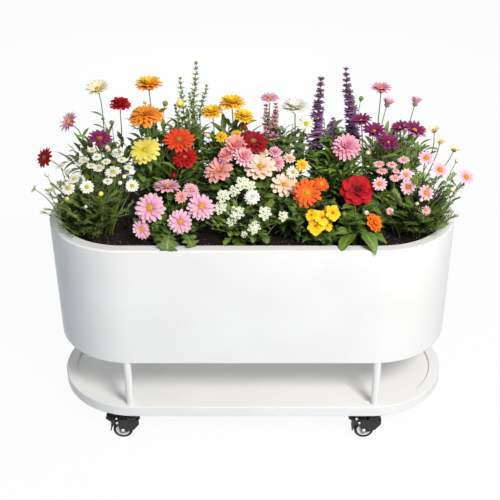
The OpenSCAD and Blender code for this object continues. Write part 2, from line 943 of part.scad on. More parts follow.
module dark_red_daisies() {
    plant([-375, 70])
        tuft([-365, 72]) {
            foliage(158, 62, 23, 5, 5);
            bloom([-end_x, 50, 142], 22, 10, 58, -150, "firebrick");
            bloom([-440, 60, 225], 25, 11, 46, -165, "orchid");
            bloom([-370, 48, 184], 26, 11, 30, -130, "mediumvioletred");
            bloom([-370, 98, 286], 27, 12, 6, -150, "cornsilk");
            bloom([-318, 108, 250], 25, 11, 5, -60, "crimson", "crimson", 2);
            bud([-338, 80, 200], 8, "saddlebrown");
        }
}

module golden_daisies() {
    plant([-245, 90])
        tuft([-246, 88]) {
            foliage(204, 36, 23, 4, 5);
            bloom([-246, 98, 305], 28, 11, 4, -90, "orange", "goldenrod", 2);
        }
}

module green_spikes() {
    plant([-165, 90])
        tuft([-165, 90]) {
            foliage(200, 40, 22, 4, 5);
            spike([-138, 96, 368], 9, 150, 9, LEAF);
            spike([-176, 92, 328], 9, 120, 8, LEAF);
            bud([-188, 76, 262], 10, "gold");
        }
}

module calendulas() {
    plant([-60, 88])
        tuft([-60, 88]) {
            foliage(186, 48, 24, 4, 5);
            bloom([-94, 84, 240], 24, 11, 12, -130, "gold", "orange", 2);
            bloom([-52, 96, 262], 27, 11, 5, -90, "gold", "orange", 2);
            bloom([-27, 74, 226], 23, 11, 12, -40, "orange", "orange", 2);
            bloom([-76, 70, 188], 15, 8, 40, -90, "goldenrod");
        }
}

module white_marguerites() {
    plant([72, 84])
        tuft([72, 84]) {
            foliage(180, 52, 23, 4, 5);
            spike([40, 96, 262], 14, 92, 5, "palevioletred");
            bloom([41, 92, 282], 22, 11, 4, -90, "pink");
            bloom([100, 92, 250], 28, 14, 10, -90, "white");
            bloom([122, 64, 220], 19, 12, 42, -80, "ivory");
        }
}

module purple_salvia() {
    plant([190, 90])
        tuft([190, 90]) {
            foliage(184, 40, 22, 4, 5);
            spike([162, 88, 336], 13, 150, 9, "rebeccapurple");
            spike([216, 92, 362], 13, 170, 10, "rebeccapurple");
        }
}

module tall_pink_daisies() {
    plant([360, 95]) {
        tuft([310, 96]) {
            foliage(180, 50, 22, 4, 5);
            bloom([308, 96, 298], 23, 11, 3, -90, "hotpink");
            bloom([325, 84, 260], 17, 9, 30, -50, "lightpink");
            bud([262, 90, 282], 8, "darkkhaki");
            bud([276, 104, 290], 8, "darkkhaki");
        }
        tuft([385, 82]) {
            foliage(142, 52, 22, 4, 4);
            bloom([386, 78, 270], 17, 9, 35, -40, "lightpink");
            bloom([428, 74, 212], 14, 9, 30, -30, "khaki");
            bloom([460, 66, 178], 13, 9, 40, 0, "khaki");
        }
    }
}

trough_wall();
trough_floor();
floor_channels();
post(FRONT_LEFT);  // post_front_left
post(FRONT_RIGHT);  // post_front_right
post(REAR_LEFT);  // post_rear_left
post(REAR_RIGHT);  // post_rear_right
post_plugs();
post_bolts();
post_spacers();
tray_rail();
shelf_panel();
shelf_channels();
soil();
castor_stems();
upper_races();
race_balls();
fork(FRONT_LEFT);  // fork_front_left
fork(FRONT_RIGHT);  // fork_front_right
fork(REAR_LEFT);  // fork_rear_left
fork(REAR_RIGHT);  // fork_rear_right
axle_pin(FRONT_LEFT);  // axle_front_left
axle_pin(FRONT_RIGHT);  // axle_front_right
axle_pin(REAR_LEFT);  // axle_rear_left
axle_pin(REAR_RIGHT);  // axle_rear_right
hub(FRONT_LEFT);  // hub_front_left
hub(FRONT_RIGHT);  // hub_front_right
hub(REAR_LEFT);  // hub_rear_left
hub(REAR_RIGHT);  // hub_rear_right
tyre(FRONT_LEFT);  // tyre_front_left
tyre(FRONT_RIGHT);  // tyre_front_right
tyre(REAR_LEFT);  // tyre_rear_left
tyre(REAR_RIGHT);  // tyre_rear_right
brake_pin(FRONT_LEFT);  // brake_pin_front_left
brake_pin(FRONT_RIGHT);  // brake_pin_front_right
brake_pin(REAR_LEFT);  // brake_pin_rear_left
brake_pin(REAR_RIGHT);  // brake_pin_rear_right
brake_lever(FRONT_LEFT);  // brake_lever_front_left
brake_lever(FRONT_RIGHT);  // brake_lever_front_right
brake_lever(REAR_LEFT);  // brake_lever_rear_left
brake_lever(REAR_RIGHT);  // brake_lever_rear_right
white_daisies();
pink_daisies();
candytuft();
violas();
orange_daisies();
red_zinnias();
pale_pink_daisies();
gerberas();
chrysanthemums();
pink_zinnia();
magenta_daisies();
dark_red_daisies();
golden_daisies();
green_spikes();
calendulas();
white_marguerites();
purple_salvia();
tall_pink_daisies();
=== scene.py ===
"""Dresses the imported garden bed: powder-coated steel, braked castors, potting soil and a bed of flowers.

Blender units are metres. The making below counts in millimetres and scales once, when a mesh is built.
"""
import math
import random
from collections import namedtuple

import bpy
import numpy as np
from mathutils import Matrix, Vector, noise


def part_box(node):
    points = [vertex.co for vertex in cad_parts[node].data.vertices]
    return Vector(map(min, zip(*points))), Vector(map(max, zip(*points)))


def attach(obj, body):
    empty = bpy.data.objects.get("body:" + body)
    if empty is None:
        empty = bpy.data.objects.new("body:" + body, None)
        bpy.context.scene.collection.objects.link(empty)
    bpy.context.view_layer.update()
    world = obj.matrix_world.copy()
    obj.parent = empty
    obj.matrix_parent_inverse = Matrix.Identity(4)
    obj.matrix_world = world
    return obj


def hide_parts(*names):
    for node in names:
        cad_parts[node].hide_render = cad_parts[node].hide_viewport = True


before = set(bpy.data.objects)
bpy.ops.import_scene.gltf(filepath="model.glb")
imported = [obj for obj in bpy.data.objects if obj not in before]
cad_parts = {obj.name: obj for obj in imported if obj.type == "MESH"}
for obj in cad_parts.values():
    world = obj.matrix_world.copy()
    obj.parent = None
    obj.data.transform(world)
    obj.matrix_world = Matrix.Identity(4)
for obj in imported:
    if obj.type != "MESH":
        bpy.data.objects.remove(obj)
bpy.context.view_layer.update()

MM = 0.001
BODY = "planter"
SEED = 11
RNG = random.Random(SEED)
vary = RNG.uniform
GOLDEN = math.pi * (3 - math.sqrt(5))


def box_side(node, end, axis):
    """The low (0) or high (1) side of a node's box along an axis, in millimetres."""
    return round(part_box(node)[end][axis] / MM, 1)


# Sizes of the bed in millimetres
SOIL_TOP = box_side("soil", 1, 2)
FLOOR_TOP = box_side("trough_floor", 1, 2)
RIM_TOP = box_side("trough_wall", 1, 2)
WALL_R = box_side("trough_wall", 1, 1)
HALF_STRAIGHT = box_side("trough_wall", 1, 0) - WALL_R
RIM_WIDTH = 27
RIM_R = WALL_R - RIM_WIDTH

# Room in millimetres that the plants leave to the soil, the rim and the wall
OVER_SOIL = 2
OVER_RIM = 1.5
INSIDE_RIM = 4
OUTSIDE_WALL = 3
STEM_OVER_RIM = 4
STEM_INSIDE_RIM = 8

# The photograph's camera, high in front and a little to the right of the middle
PHOTO_PX = 500
FOCAL_PX = 991.37
CENTRE_PX = (263.4, 277.67)
PITCH = math.radians(32.02)
LENS_AT = np.array([27.62, -2151.46, 1712.0])


def linear(code):
    """A colour written as rrggbb, in linear light."""
    parts = [int(code[i:i + 2], 16) / 255 for i in (0, 2, 4)]
    return [p / 12.92 if p <= 0.04045 else ((p + 0.055) / 1.055) ** 2.4 for p in parts]


# Materials

class Tree:
    """A node tree and short calls that add nodes to it. Colours are written as rrggbb."""

    def __init__(self, tree):
        self.tree = tree

    def feed(self, socket, value):
        if isinstance(value, bpy.types.NodeSocket):
            self.tree.links.new(value, socket)
        else:
            socket.default_value = (*linear(value), 1) if isinstance(value, str) else value

    def node(self, kind, inputs=None, **facts):
        made = self.tree.nodes.new("ShaderNode" + kind)
        for key, value in facts.items():
            setattr(made, key, value)
        for key, value in (inputs or {}).items():
            self.feed(made.inputs[key], value)
        return made

    def math(self, way, a, b=0.0, c=0.0):
        return self.node("Math", dict(enumerate((a, b, c))), operation=way).outputs[0]

    def span(self, fac, low, high, a, b):
        return self.node("MapRange", {"Value": fac, "From Min": low, "From Max": high,
                                      "To Min": a, "To Max": b}).outputs["Result"]


class Shade(Tree):
    """A Principled material."""

    def __init__(self, name, rough, shine=0.5):
        self.made = bpy.data.materials.new(name)
        self.made.use_nodes = True
        super().__init__(self.made.node_tree)
        self.shader = self.tree.nodes["Principled BSDF"]
        self.to("Roughness", rough)
        self.to("Specular IOR Level", shine)

    def to(self, socket, value):
        self.feed(self.shader.inputs[socket], value)

    def place(self):
        return self.node("TexCoord").outputs["Object"]

    def noise(self, scale, detail=3, rough=0.5, at=None):
        return self.node("TexNoise", {"Vector": at or self.place(), "Scale": scale, "Detail": detail,
                                      "Roughness": rough}).outputs["Fac"]

    def ramp(self, fac, *stops):
        made = self.node("ValToRGB", {"Fac": fac})
        bar = made.color_ramp.elements
        while len(bar) < len(stops):
            bar.new(0.5)
        for step, (at, colour) in zip(bar, stops):
            step.position = at
            step.color = (*linear(colour), 1)
        return made.outputs["Color"]

    def mix(self, fac, a, b):
        return self.node("Mix", {0: fac, 6: a, 7: b}, data_type="RGBA").outputs[2]

    def paint(self, colour, value):
        """The colour, made lighter or darker by value."""
        self.to("Base Color", self.node("HueSaturation", {"Color": colour, "Value": value}).outputs["Color"])

    def bump(self, height, depth, strength):
        made = self.node("Bump", {"Height": height, "Distance": depth, "Strength": strength})
        self.to("Normal", made.outputs["Normal"])

    def tone(self):
        """How far along and across a leaf or petal a point lies, its distance from the midrib, and the
        piece's own chance."""
        read = self.node("Attribute", attribute_name="tone")
        along, across, chance = self.node("SeparateColor", {"Color": read.outputs["Color"]}).outputs
        return along, across, self.math("ABSOLUTE", self.math("MULTIPLY_ADD", across, 2.0, -1.0)), chance


def hard(name, low, high, rough, grain, depth, shine=0.5, strength=0.4, detail=3, cloud=(90, 4),
         smear=(150, 3), smoother=0.07, rougher=0.08, metal=0.0):
    """A hard surface: clouds of two near tones, smears that change its gloss, and a fine grain."""
    m = Shade(name, rough, shine)
    m.to("Metallic", metal)
    m.to("Base Color", m.ramp(m.noise(*cloud), (0.3, low), (0.7, high)))
    m.to("Roughness", m.span(m.noise(*smear), 0.3, 0.7, rough - smoother, rough + rougher))
    m.bump(m.noise(grain, detail), depth, strength)
    return m.made


def soil_shade():
    m = Shade("potting_soil", 0.9, 0.25)
    lumps = m.noise(130, 8, 0.65)
    crumbs = m.node("TexVoronoi", {"Vector": m.place(), "Scale": 420.0}).outputs["Distance"]
    dark = m.ramp(lumps, (0.32, "0C0807"), (0.55, "1F1511"), (0.78, "3A2A20"))
    m.to("Base Color", m.mix(m.span(crumbs, 0.0, 0.6, 0.0, 0.5), dark, "160E0A"))
    m.to("Roughness", m.span(lumps, 0.3, 0.7, 0.78, 0.98))
    m.bump(m.mix(0.5, lumps, crumbs), 0.0016, 0.8)
    return m.made


def leaf_shade(name, deep, fresh, rib, rough=0.46):
    """A leaf: darker between its veins, a pale midrib, each leaf a little different, and darker towards its
    foot as painted shade and lighter at its tip as painted light.
    """
    m = Shade(name, rough, 0.4)
    along, across, side, chance = m.tone()
    slant = m.math("SUBTRACT", m.math("MULTIPLY", along, 11.0), m.math("MULTIPLY", side, 3.2))
    vein = m.math("ABSOLUTE", m.math("SINE", m.math("MULTIPLY", slant, math.pi)))
    mottle = m.noise(75, 4)
    body = m.mix(m.span(mottle, 0.3, 0.7, 0.0, 1.0), deep, fresh)
    body = m.mix(m.span(chance, 0.0, 1.0, 0.0, 0.55), body, fresh)
    body = m.mix(m.span(vein, 0.0, 0.3, 0.4, 0.0), body, rib)
    body = m.mix(m.span(side, 0.0, 0.16, 0.75, 0.0), body, rib)
    # Painted shade towards the foot of each leaf and stem, painted light at its tip
    m.paint(body, m.span(along, 0.0, 1.0, 0.78, 1.08))
    m.to("Roughness", m.span(mottle, 0.3, 0.7, rough - 0.06, rough + 0.1))
    m.bump(m.math("MULTIPLY", vein, m.span(side, 0.0, 0.2, 0.3, 1.0)), 0.0004, 0.6)
    return m.made


def petal_shade(name, base, middle, tip, rough=0.66):
    """A petal: its colour runs from base to tip, with fine veins along it and a lighter edge."""
    m = Shade(name, rough, 0.2)
    along, across, side, chance = m.tone()
    lines = m.node("CombineXYZ", {"X": m.math("MULTIPLY", across, 9.0), "Y": m.math("MULTIPLY", along, 0.9),
                                  "Z": m.math("MULTIPLY", chance, 17.0)}).outputs["Vector"]
    vein = m.noise(2.2, 2, 0.5, lines)
    body = m.ramp(along, (0.0, base), (0.42, middle), (1.0, tip))
    body = m.mix(m.span(vein, 0.35, 0.65, 0.3, 0.0), body, base)
    body = m.mix(m.span(side, 0.5, 1.0, 0.0, 0.35), body, tip)
    m.paint(body, m.span(chance, 0.0, 1.0, 0.88, 1.06))
    m.to("Roughness", m.span(vein, 0.3, 0.7, rough - 0.08, rough + 0.08))
    m.bump(vein, 0.0003, 0.5)
    return m.made


def eye_shade(name, inner, middle, outer):
    """The florets of a flower's eye, from its middle outwards."""
    m = Shade(name, 0.7, 0.25)
    along, across, side, chance = m.tone()
    m.paint(m.ramp(along, (0.1, inner), (0.6, middle), (1.0, outer)), m.span(chance, 0.0, 1.0, 0.72, 1.18))
    m.to("Roughness", m.span(m.noise(900, 2), 0.3, 0.7, 0.6, 0.85))
    m.bump(m.noise(1600, 2), 0.0002, 0.6)
    return m.made


# The colours of each leaf: between its veins, fresh, and at its rib
LEAVES = {
    "fern": "54682C 8BA24C B6C67C",
    "fresh": "547024 86A238 AEC261",
    "lobed": "354E1A 5C762C 8CA250",
    "broad": "3C5A1A 6A882C A2B85A",
    "dark": "223815 3E5821 6E8642",
    "grey": "5E7239 8C9E57 B0BE76",
    "bract": "3A2240 5E3A5E 7C5478",
    "stem": "566E2B 849940 A0B257",
    # shade: a near-black green that bush() gives most inner leaves, painted shade deep in the foliage
    "shade": "122009 203211 374C22",
    "young": "6E8842 98AE62 BCCB8E",
    "sunny": "4E6A1F 82A034 B4CA5F",
}
# The colours of each petal: at its base, middle and tip
PETALS = {
    "white": "DDE0BC F2F2EA F8F8F5",
    "pink": "D67C9E ECAAC2 F5CCDA",
    "salmon": "E8827C F3A098 F9C4BA",
    "peach": "F5BE98 FAD3B8 FDE8D8",
    "coral": "E4747A F09592 F8BAB0",
    "rose": "EA869C F3A6B4 F9CACE",
    "rosy": "DC6C92 EE94B0 F7BECE",
    "sun": "F2AC0E FBCA1C FDE14E",
    "pale": "EE93AE F6B6C8 FBDCE3",
    "lemon": "E3CE3A F2E25C F8EE8C",
    "gold": "F0A010 FCC024 FED64A",
    "tangerine": "E0480B F26A14 FA8A24",
    "vermilion": "BC1E12 E43C22 F05C38",
    "fire": "F08A30 EC541A F56A2C",
    "crimson": "74050F AE0A19 CE1B26",
    "wine": "5A0612 8C0E1E A81C30",
    "candy": "B8486E DC7A9A EEAEC2",
    "magenta": "500C3C 761A54 A03E7A",
    "orchid": "A03A76 C8679A E29ABC",
    "cream": "EBD9A0 F5E9C6 FAF4E2",
    "ivory": "D6DCAC EBEED4 F6F6EA",
    "marigold": "E8700E F48C22 FAAA42",
    "violet": "4E2A52 784A7C A67CAA",
    "mauve": "BC6484 DC96AA EDBCC6",
    "yellow": "EDA80A FBCB12 FDDC3E",
}
# The colours of each eye: inner, middle and outer
EYES = {
    "gold": "B9962A E6B426 DE9A1C",
    "amber": "B86A10 E39A1E F0B62C",
    "lime": "A9B43A D8C834 E6B822",
    "ringed": "4A1008 B0561C E6A84A",
    "dark": "1C0608 3A0A10 6E1418",
    "green": "8DA63E B4C65A D4DC84",
    "brown": "4A2810 8A5A22 B98A30",
}

white = hard("white_powder_coat", "E9E8E5", "EFEEEC", 0.4, 1400, 0.00006, strength=0.35, detail=2,
             cloud=(6, 4), smear=(40, 4), smoother=0.06, rougher=0.06)
zinc = hard("zinc_plate", "B9BBBE", "D2D4D6", 0.3, 2200, 0.00003, strength=0.3, detail=2,
            cloud=(180, 3), smear=(260, 4), smoother=0.08, rougher=0.1, metal=1.0)
black_paint = hard("black_paint", "0E0E10", "17171A", 0.3, 900, 0.00004)
black_nylon = hard("black_nylon", "101012", "1A1A1D", 0.42, 1200, 0.00006)
rubber = hard("tyre_rubber", "101010", "1C1C1D", 0.72, 1500, 0.0001, 0.3)
nylon = hard("pale_nylon", "CFCFCB", "DEDEDA", 0.34, 900, 0.00005)
soil_mat = soil_shade()
grit_mat = hard("soil_grit", "6A5240", "A08A72", 0.85, 700, 0.0002, 0.2)
shades = {key: leaf_shade(key + "_leaf", *row.split()) for key, row in LEAVES.items()}
shades.update({key: petal_shade(key + "_petal", *row.split()) for key, row in PETALS.items()})
shades.update({"eye_" + key: eye_shade(key + "_eye", *row.split()) for key, row in EYES.items()})
GREEN = shades["stem"]


# Meshes: every leaf and petal is a closed skin over a grid of points

SKINS = {}


def add_object(name, data):
    made = bpy.data.objects.new(name, data)
    bpy.context.scene.collection.objects.link(made)
    return made


def quads(a):
    """The four-sided faces of a grid of point numbers."""
    return np.stack([a[:-1, :-1], a[1:, :-1], a[1:, 1:], a[:-1, 1:]], -1).reshape(-1, 4)


def skin(n, m):
    """The faces over and under an n by m grid whose border is shared by both."""
    if (n, m) not in SKINS:
        over = np.arange(n * m).reshape(n, m)
        under = over.copy()
        under[1:-1, 1:-1] = n * m + np.arange((n - 2) * (m - 2)).reshape(n - 2, m - 2)
        SKINS[n, m] = np.concatenate([quads(over), quads(under)[:, ::-1]])
    return SKINS[n, m]


def unit(v):
    return v / np.maximum(np.linalg.norm(v, axis=-1, keepdims=True), 1e-9)


def circle(sides):
    """The angles of a ring of evenly spaced points."""
    return np.linspace(0, 2 * math.pi, sides, endpoint=False)


def keep_clear(p):
    """Lifts points over the soil and the rim, which plants lie on and don't pass through."""
    out = np.hypot(np.maximum(np.abs(p[..., 0]) - HALF_STRAIGHT, 0), p[..., 1])
    over_rim = np.where(out < WALL_R + OUTSIDE_WALL, RIM_TOP + OVER_RIM, 0)
    low = np.where(out > RIM_R - INSIDE_RIM, over_rim, SOIL_TOP + OVER_SOIL)
    p[..., 2] = np.maximum(p[..., 2], low)
    return p


def keep_clear_of_rim(path):
    """Keeps a stem inside the trough until it is above the rim."""
    widest = RIM_R - STEM_INSIDE_RIM
    for p in path:
        if p[2] < RIM_TOP + STEM_OVER_RIM:
            middle = max(-HALF_STRAIGHT, min(HALF_STRAIGHT, p[0]))
            out = math.hypot(p[0] - middle, p[1])
            if out > widest:
                share = widest / out
                p[0] = middle + (p[0] - middle) * share
                p[1] *= share
    return path


class Piece:
    """Gathers surfaces in millimetres and makes one object of them."""

    def __init__(self, name, slot, node):
        self.name, self.slot, self.node = name, slot, node
        self.points, self.faces, self.inks, self.tones, self.shades = [], [], [], [], []
        self.count = 0

    def add(self, points, faces, shade, tones):
        if shade not in self.shades:
            self.shades.append(shade)
        self.points.append(points)
        self.tones.append(tones)
        self.faces += (np.asarray(faces) + self.count).tolist()
        self.inks += [self.shades.index(shade)] * len(faces)
        self.count += len(points)

    def blade(self, grid, thick, shade, chance):
        """A leaf or petal: a closed skin, thick in the middle, over a grid of points."""
        n, m = grid.shape[:2]
        normal = unit(np.cross(np.gradient(grid, axis=0), np.gradient(grid, axis=1)))
        t, s = np.meshgrid(np.linspace(0, 1, n), np.linspace(0, 1, m), indexing="ij")
        inside = slice(1, -1)
        rise = np.zeros((n, m, 1))
        rise[inside, inside] = thick / 2
        points = np.concatenate([(grid + normal * rise).reshape(-1, 3),
                                 (grid - normal * rise)[inside, inside].reshape(-1, 3)])
        tone = np.stack(np.broadcast_arrays(t, s, chance, 1.0), -1)
        tones = np.concatenate([tone.reshape(-1, 4), tone[inside, inside].reshape(-1, 4)])
        self.add(points, skin(n, m), shade, tones)

    def rings(self, rings, caps, shade, chance):
        """A closed solid over rings of points, from its foot to its tip, with a point that caps each end."""
        n, sides = rings.shape[:2]
        a = np.arange(n * sides).reshape(n, sides)
        b = np.roll(a, -1, axis=1)
        faces = np.stack([a[:-1], b[:-1], b[1:], a[1:]], -1).reshape(-1, 4).tolist()
        low, high = n * sides, n * sides + 1
        for i in range(sides):
            faces.append([a[0, i], low, low, b[0, i]])
            faces.append([a[-1, i], b[-1, i], high, high])
        along = np.append(np.repeat(np.linspace(0, 1, n), sides), [0, 1])
        tones = np.stack(np.broadcast_arrays(along, 0.8, chance, 1.0), -1)
        self.add(np.concatenate([rings.reshape(-1, 3), caps]), faces, shade, tones)

    def tube(self, path, radii, shade, sides=6, chance=0.5):
        """A closed round rod along a path."""
        path = np.asarray(path, float)
        radii = np.broadcast_to(radii, len(path))
        ahead = unit(np.gradient(path, axis=0))
        across = unit(np.cross(ahead, [0.31, 0.87, 0.12]))
        up = np.cross(across, ahead)
        turn = circle(sides)[None, :, None]
        ring = np.cos(turn) * across[:, None] + np.sin(turn) * up[:, None]
        caps = [path[0] - ahead[0] * radii[0] * 0.4, path[-1] + ahead[-1] * radii[-1] * 0.4]
        self.rings(path[:, None] + ring * radii[:, None, None], caps, shade, chance)

    def spun(self, at, turn, profile, shade, sides=10, chance=0.5, ribs=0.0):
        """A closed solid of revolution: profile points are (radius, height) from its foot to its tip."""
        rs, zs = np.array(profile, float).T[:, :, None]
        swell = 1 + ribs * np.cos(np.arange(sides) * math.pi)
        around = circle(sides)
        x, y = rs * np.cos(around) * swell, rs * np.sin(around) * swell
        rings = np.stack(np.broadcast_arrays(x, y, zs), -1)
        caps = np.array([[0, 0, profile[0][1]], [0, 0, profile[-1][1]]])
        self.rings(rings @ turn.T + at, caps @ turn.T + at, shade, chance)

    def build(self, smooth):
        """Makes the object. Edges sharper than smooth degrees stay sharp."""
        faces = [[i for k, i in enumerate(f) if i not in f[:k]] for f in self.faces]
        mesh = bpy.data.meshes.new(self.name)
        mesh.from_pydata((np.concatenate(self.points) * MM).tolist(), [], faces)
        for shade in self.shades:
            mesh.materials.append(shade)
        mesh.polygons.foreach_set("material_index", self.inks)
        mesh.polygons.foreach_set("use_smooth", [True] * len(faces))
        tone = mesh.attributes.new("tone", "FLOAT_COLOR", "POINT")
        tone.data.foreach_set("color", np.concatenate(self.tones).astype(np.float32).ravel())
        mesh.update()
        mesh.set_sharp_from_angle(angle=math.radians(smooth))
        made = add_object(self.name, mesh)
        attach(made, BODY)
        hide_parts(self.node)


def about_z(degrees):
    """A turn about the Z axis."""
    a = math.radians(degrees)
    return np.array([[math.cos(a), -math.sin(a), 0], [math.sin(a), math.cos(a), 0], [0, 0, 1]])


def turned(tilt, turn, roll=0.0):
    """Tips a head over by tilt towards the compass angle turn, after rolling it on its own axis."""
    b = math.radians(tilt)
    tip = np.array([[math.cos(b), 0, math.sin(b)], [0, 1, 0], [-math.sin(b), 0, math.cos(b)]])
    return about_z(turn) @ tip @ about_z(roll)


def curl(length, width, outline, rise, bend, cup=0.0, tip=0.3, notch=0.0, fold=0.0, wave=0.0, waves=3,
         n=6, m=5):
    """A leaf or petal from the origin along +X as a grid: it starts at the angle rise and turns by bend."""
    t = np.linspace(0, 1, n + 1)[:, None]
    s = np.linspace(-1, 1, m)[None, :]
    half = width / 2 * np.interp(t, np.linspace(0, 1, len(outline)), outline)
    run = t - tip * t ** 3 * s ** 2 - notch * t ** 8 * (1 - np.abs(s))
    a = math.radians(rise)
    k = math.radians(bend if abs(bend) > 0.5 else 0.5)
    angle = a + k * run
    lift = half * (cup * s ** 2 + fold * np.abs(s))
    lift = lift + wave * half * np.sin(t * waves * 2 * math.pi) * s * np.abs(s)
    x = length * (np.sin(angle) - math.sin(a)) / k - np.sin(angle) * lift
    z = length * (math.cos(a) - np.cos(angle)) / k + np.cos(angle) * lift
    return np.stack([x, half * s + 0 * x, z], -1)


def bezier(a, b, c, d, n=9):
    """Points along a curve from a to d that b and c pull."""
    t = np.linspace(0, 1, n)[:, None]
    a, b, c, d = (np.asarray(q, float) for q in (a, b, c, d))
    return (1 - t) ** 3 * a + 3 * t * (1 - t) ** 2 * b + 3 * t * t * (1 - t) * c + t ** 3 * d


def point_on(path, share):
    """The point that lies a share of the way along a path."""
    steps = np.arange(len(path))
    return np.array([np.interp(share * steps[-1], steps, path[:, i]) for i in range(3)])


# Outlines as shares of the half width, from foot to tip
STRAP = (0.4, 0.7, 0.9, 1.0, 1.02, 0.9, 0.72)
SPOON = (0.25, 0.55, 0.82, 0.98, 1.04, 0.94, 0.72)
BROAD = (0.24, 0.6, 0.86, 1.0, 1.04, 0.96, 0.76)
POINT = (0.4, 0.85, 1.0, 0.86, 0.55, 0.1)
OVATE = (0.12, 0.7, 0.98, 1.0, 0.86, 0.6, 0.3, 0.04)
LANCE = (0.16, 0.6, 0.92, 1.0, 0.82, 0.5, 0.05)
BROAD_LOBED = (0.07, 0.09, 0.12, 0.34, 0.58, 0.66, 0.56, 0.34, 0.5, 0.84, 1.0, 0.94, 0.62, 0.5, 0.78,
               0.96, 0.92, 0.62, 0.44, 0.62, 0.66, 0.5, 0.16)
LOBED = (0.1, 0.14, 0.62, 0.4, 0.9, 0.52, 1.0, 0.6, 0.84, 0.5, 0.52, 0.08)
PANSY = (0.2, 0.66, 0.96, 1.0, 0.94, 0.66)
EGG = ((0.3, -0.2), (0.72, 0.05), (0.95, 0.4), (1.0, 0.75), (0.85, 1.15), (0.5, 1.5), (0.16, 1.68))


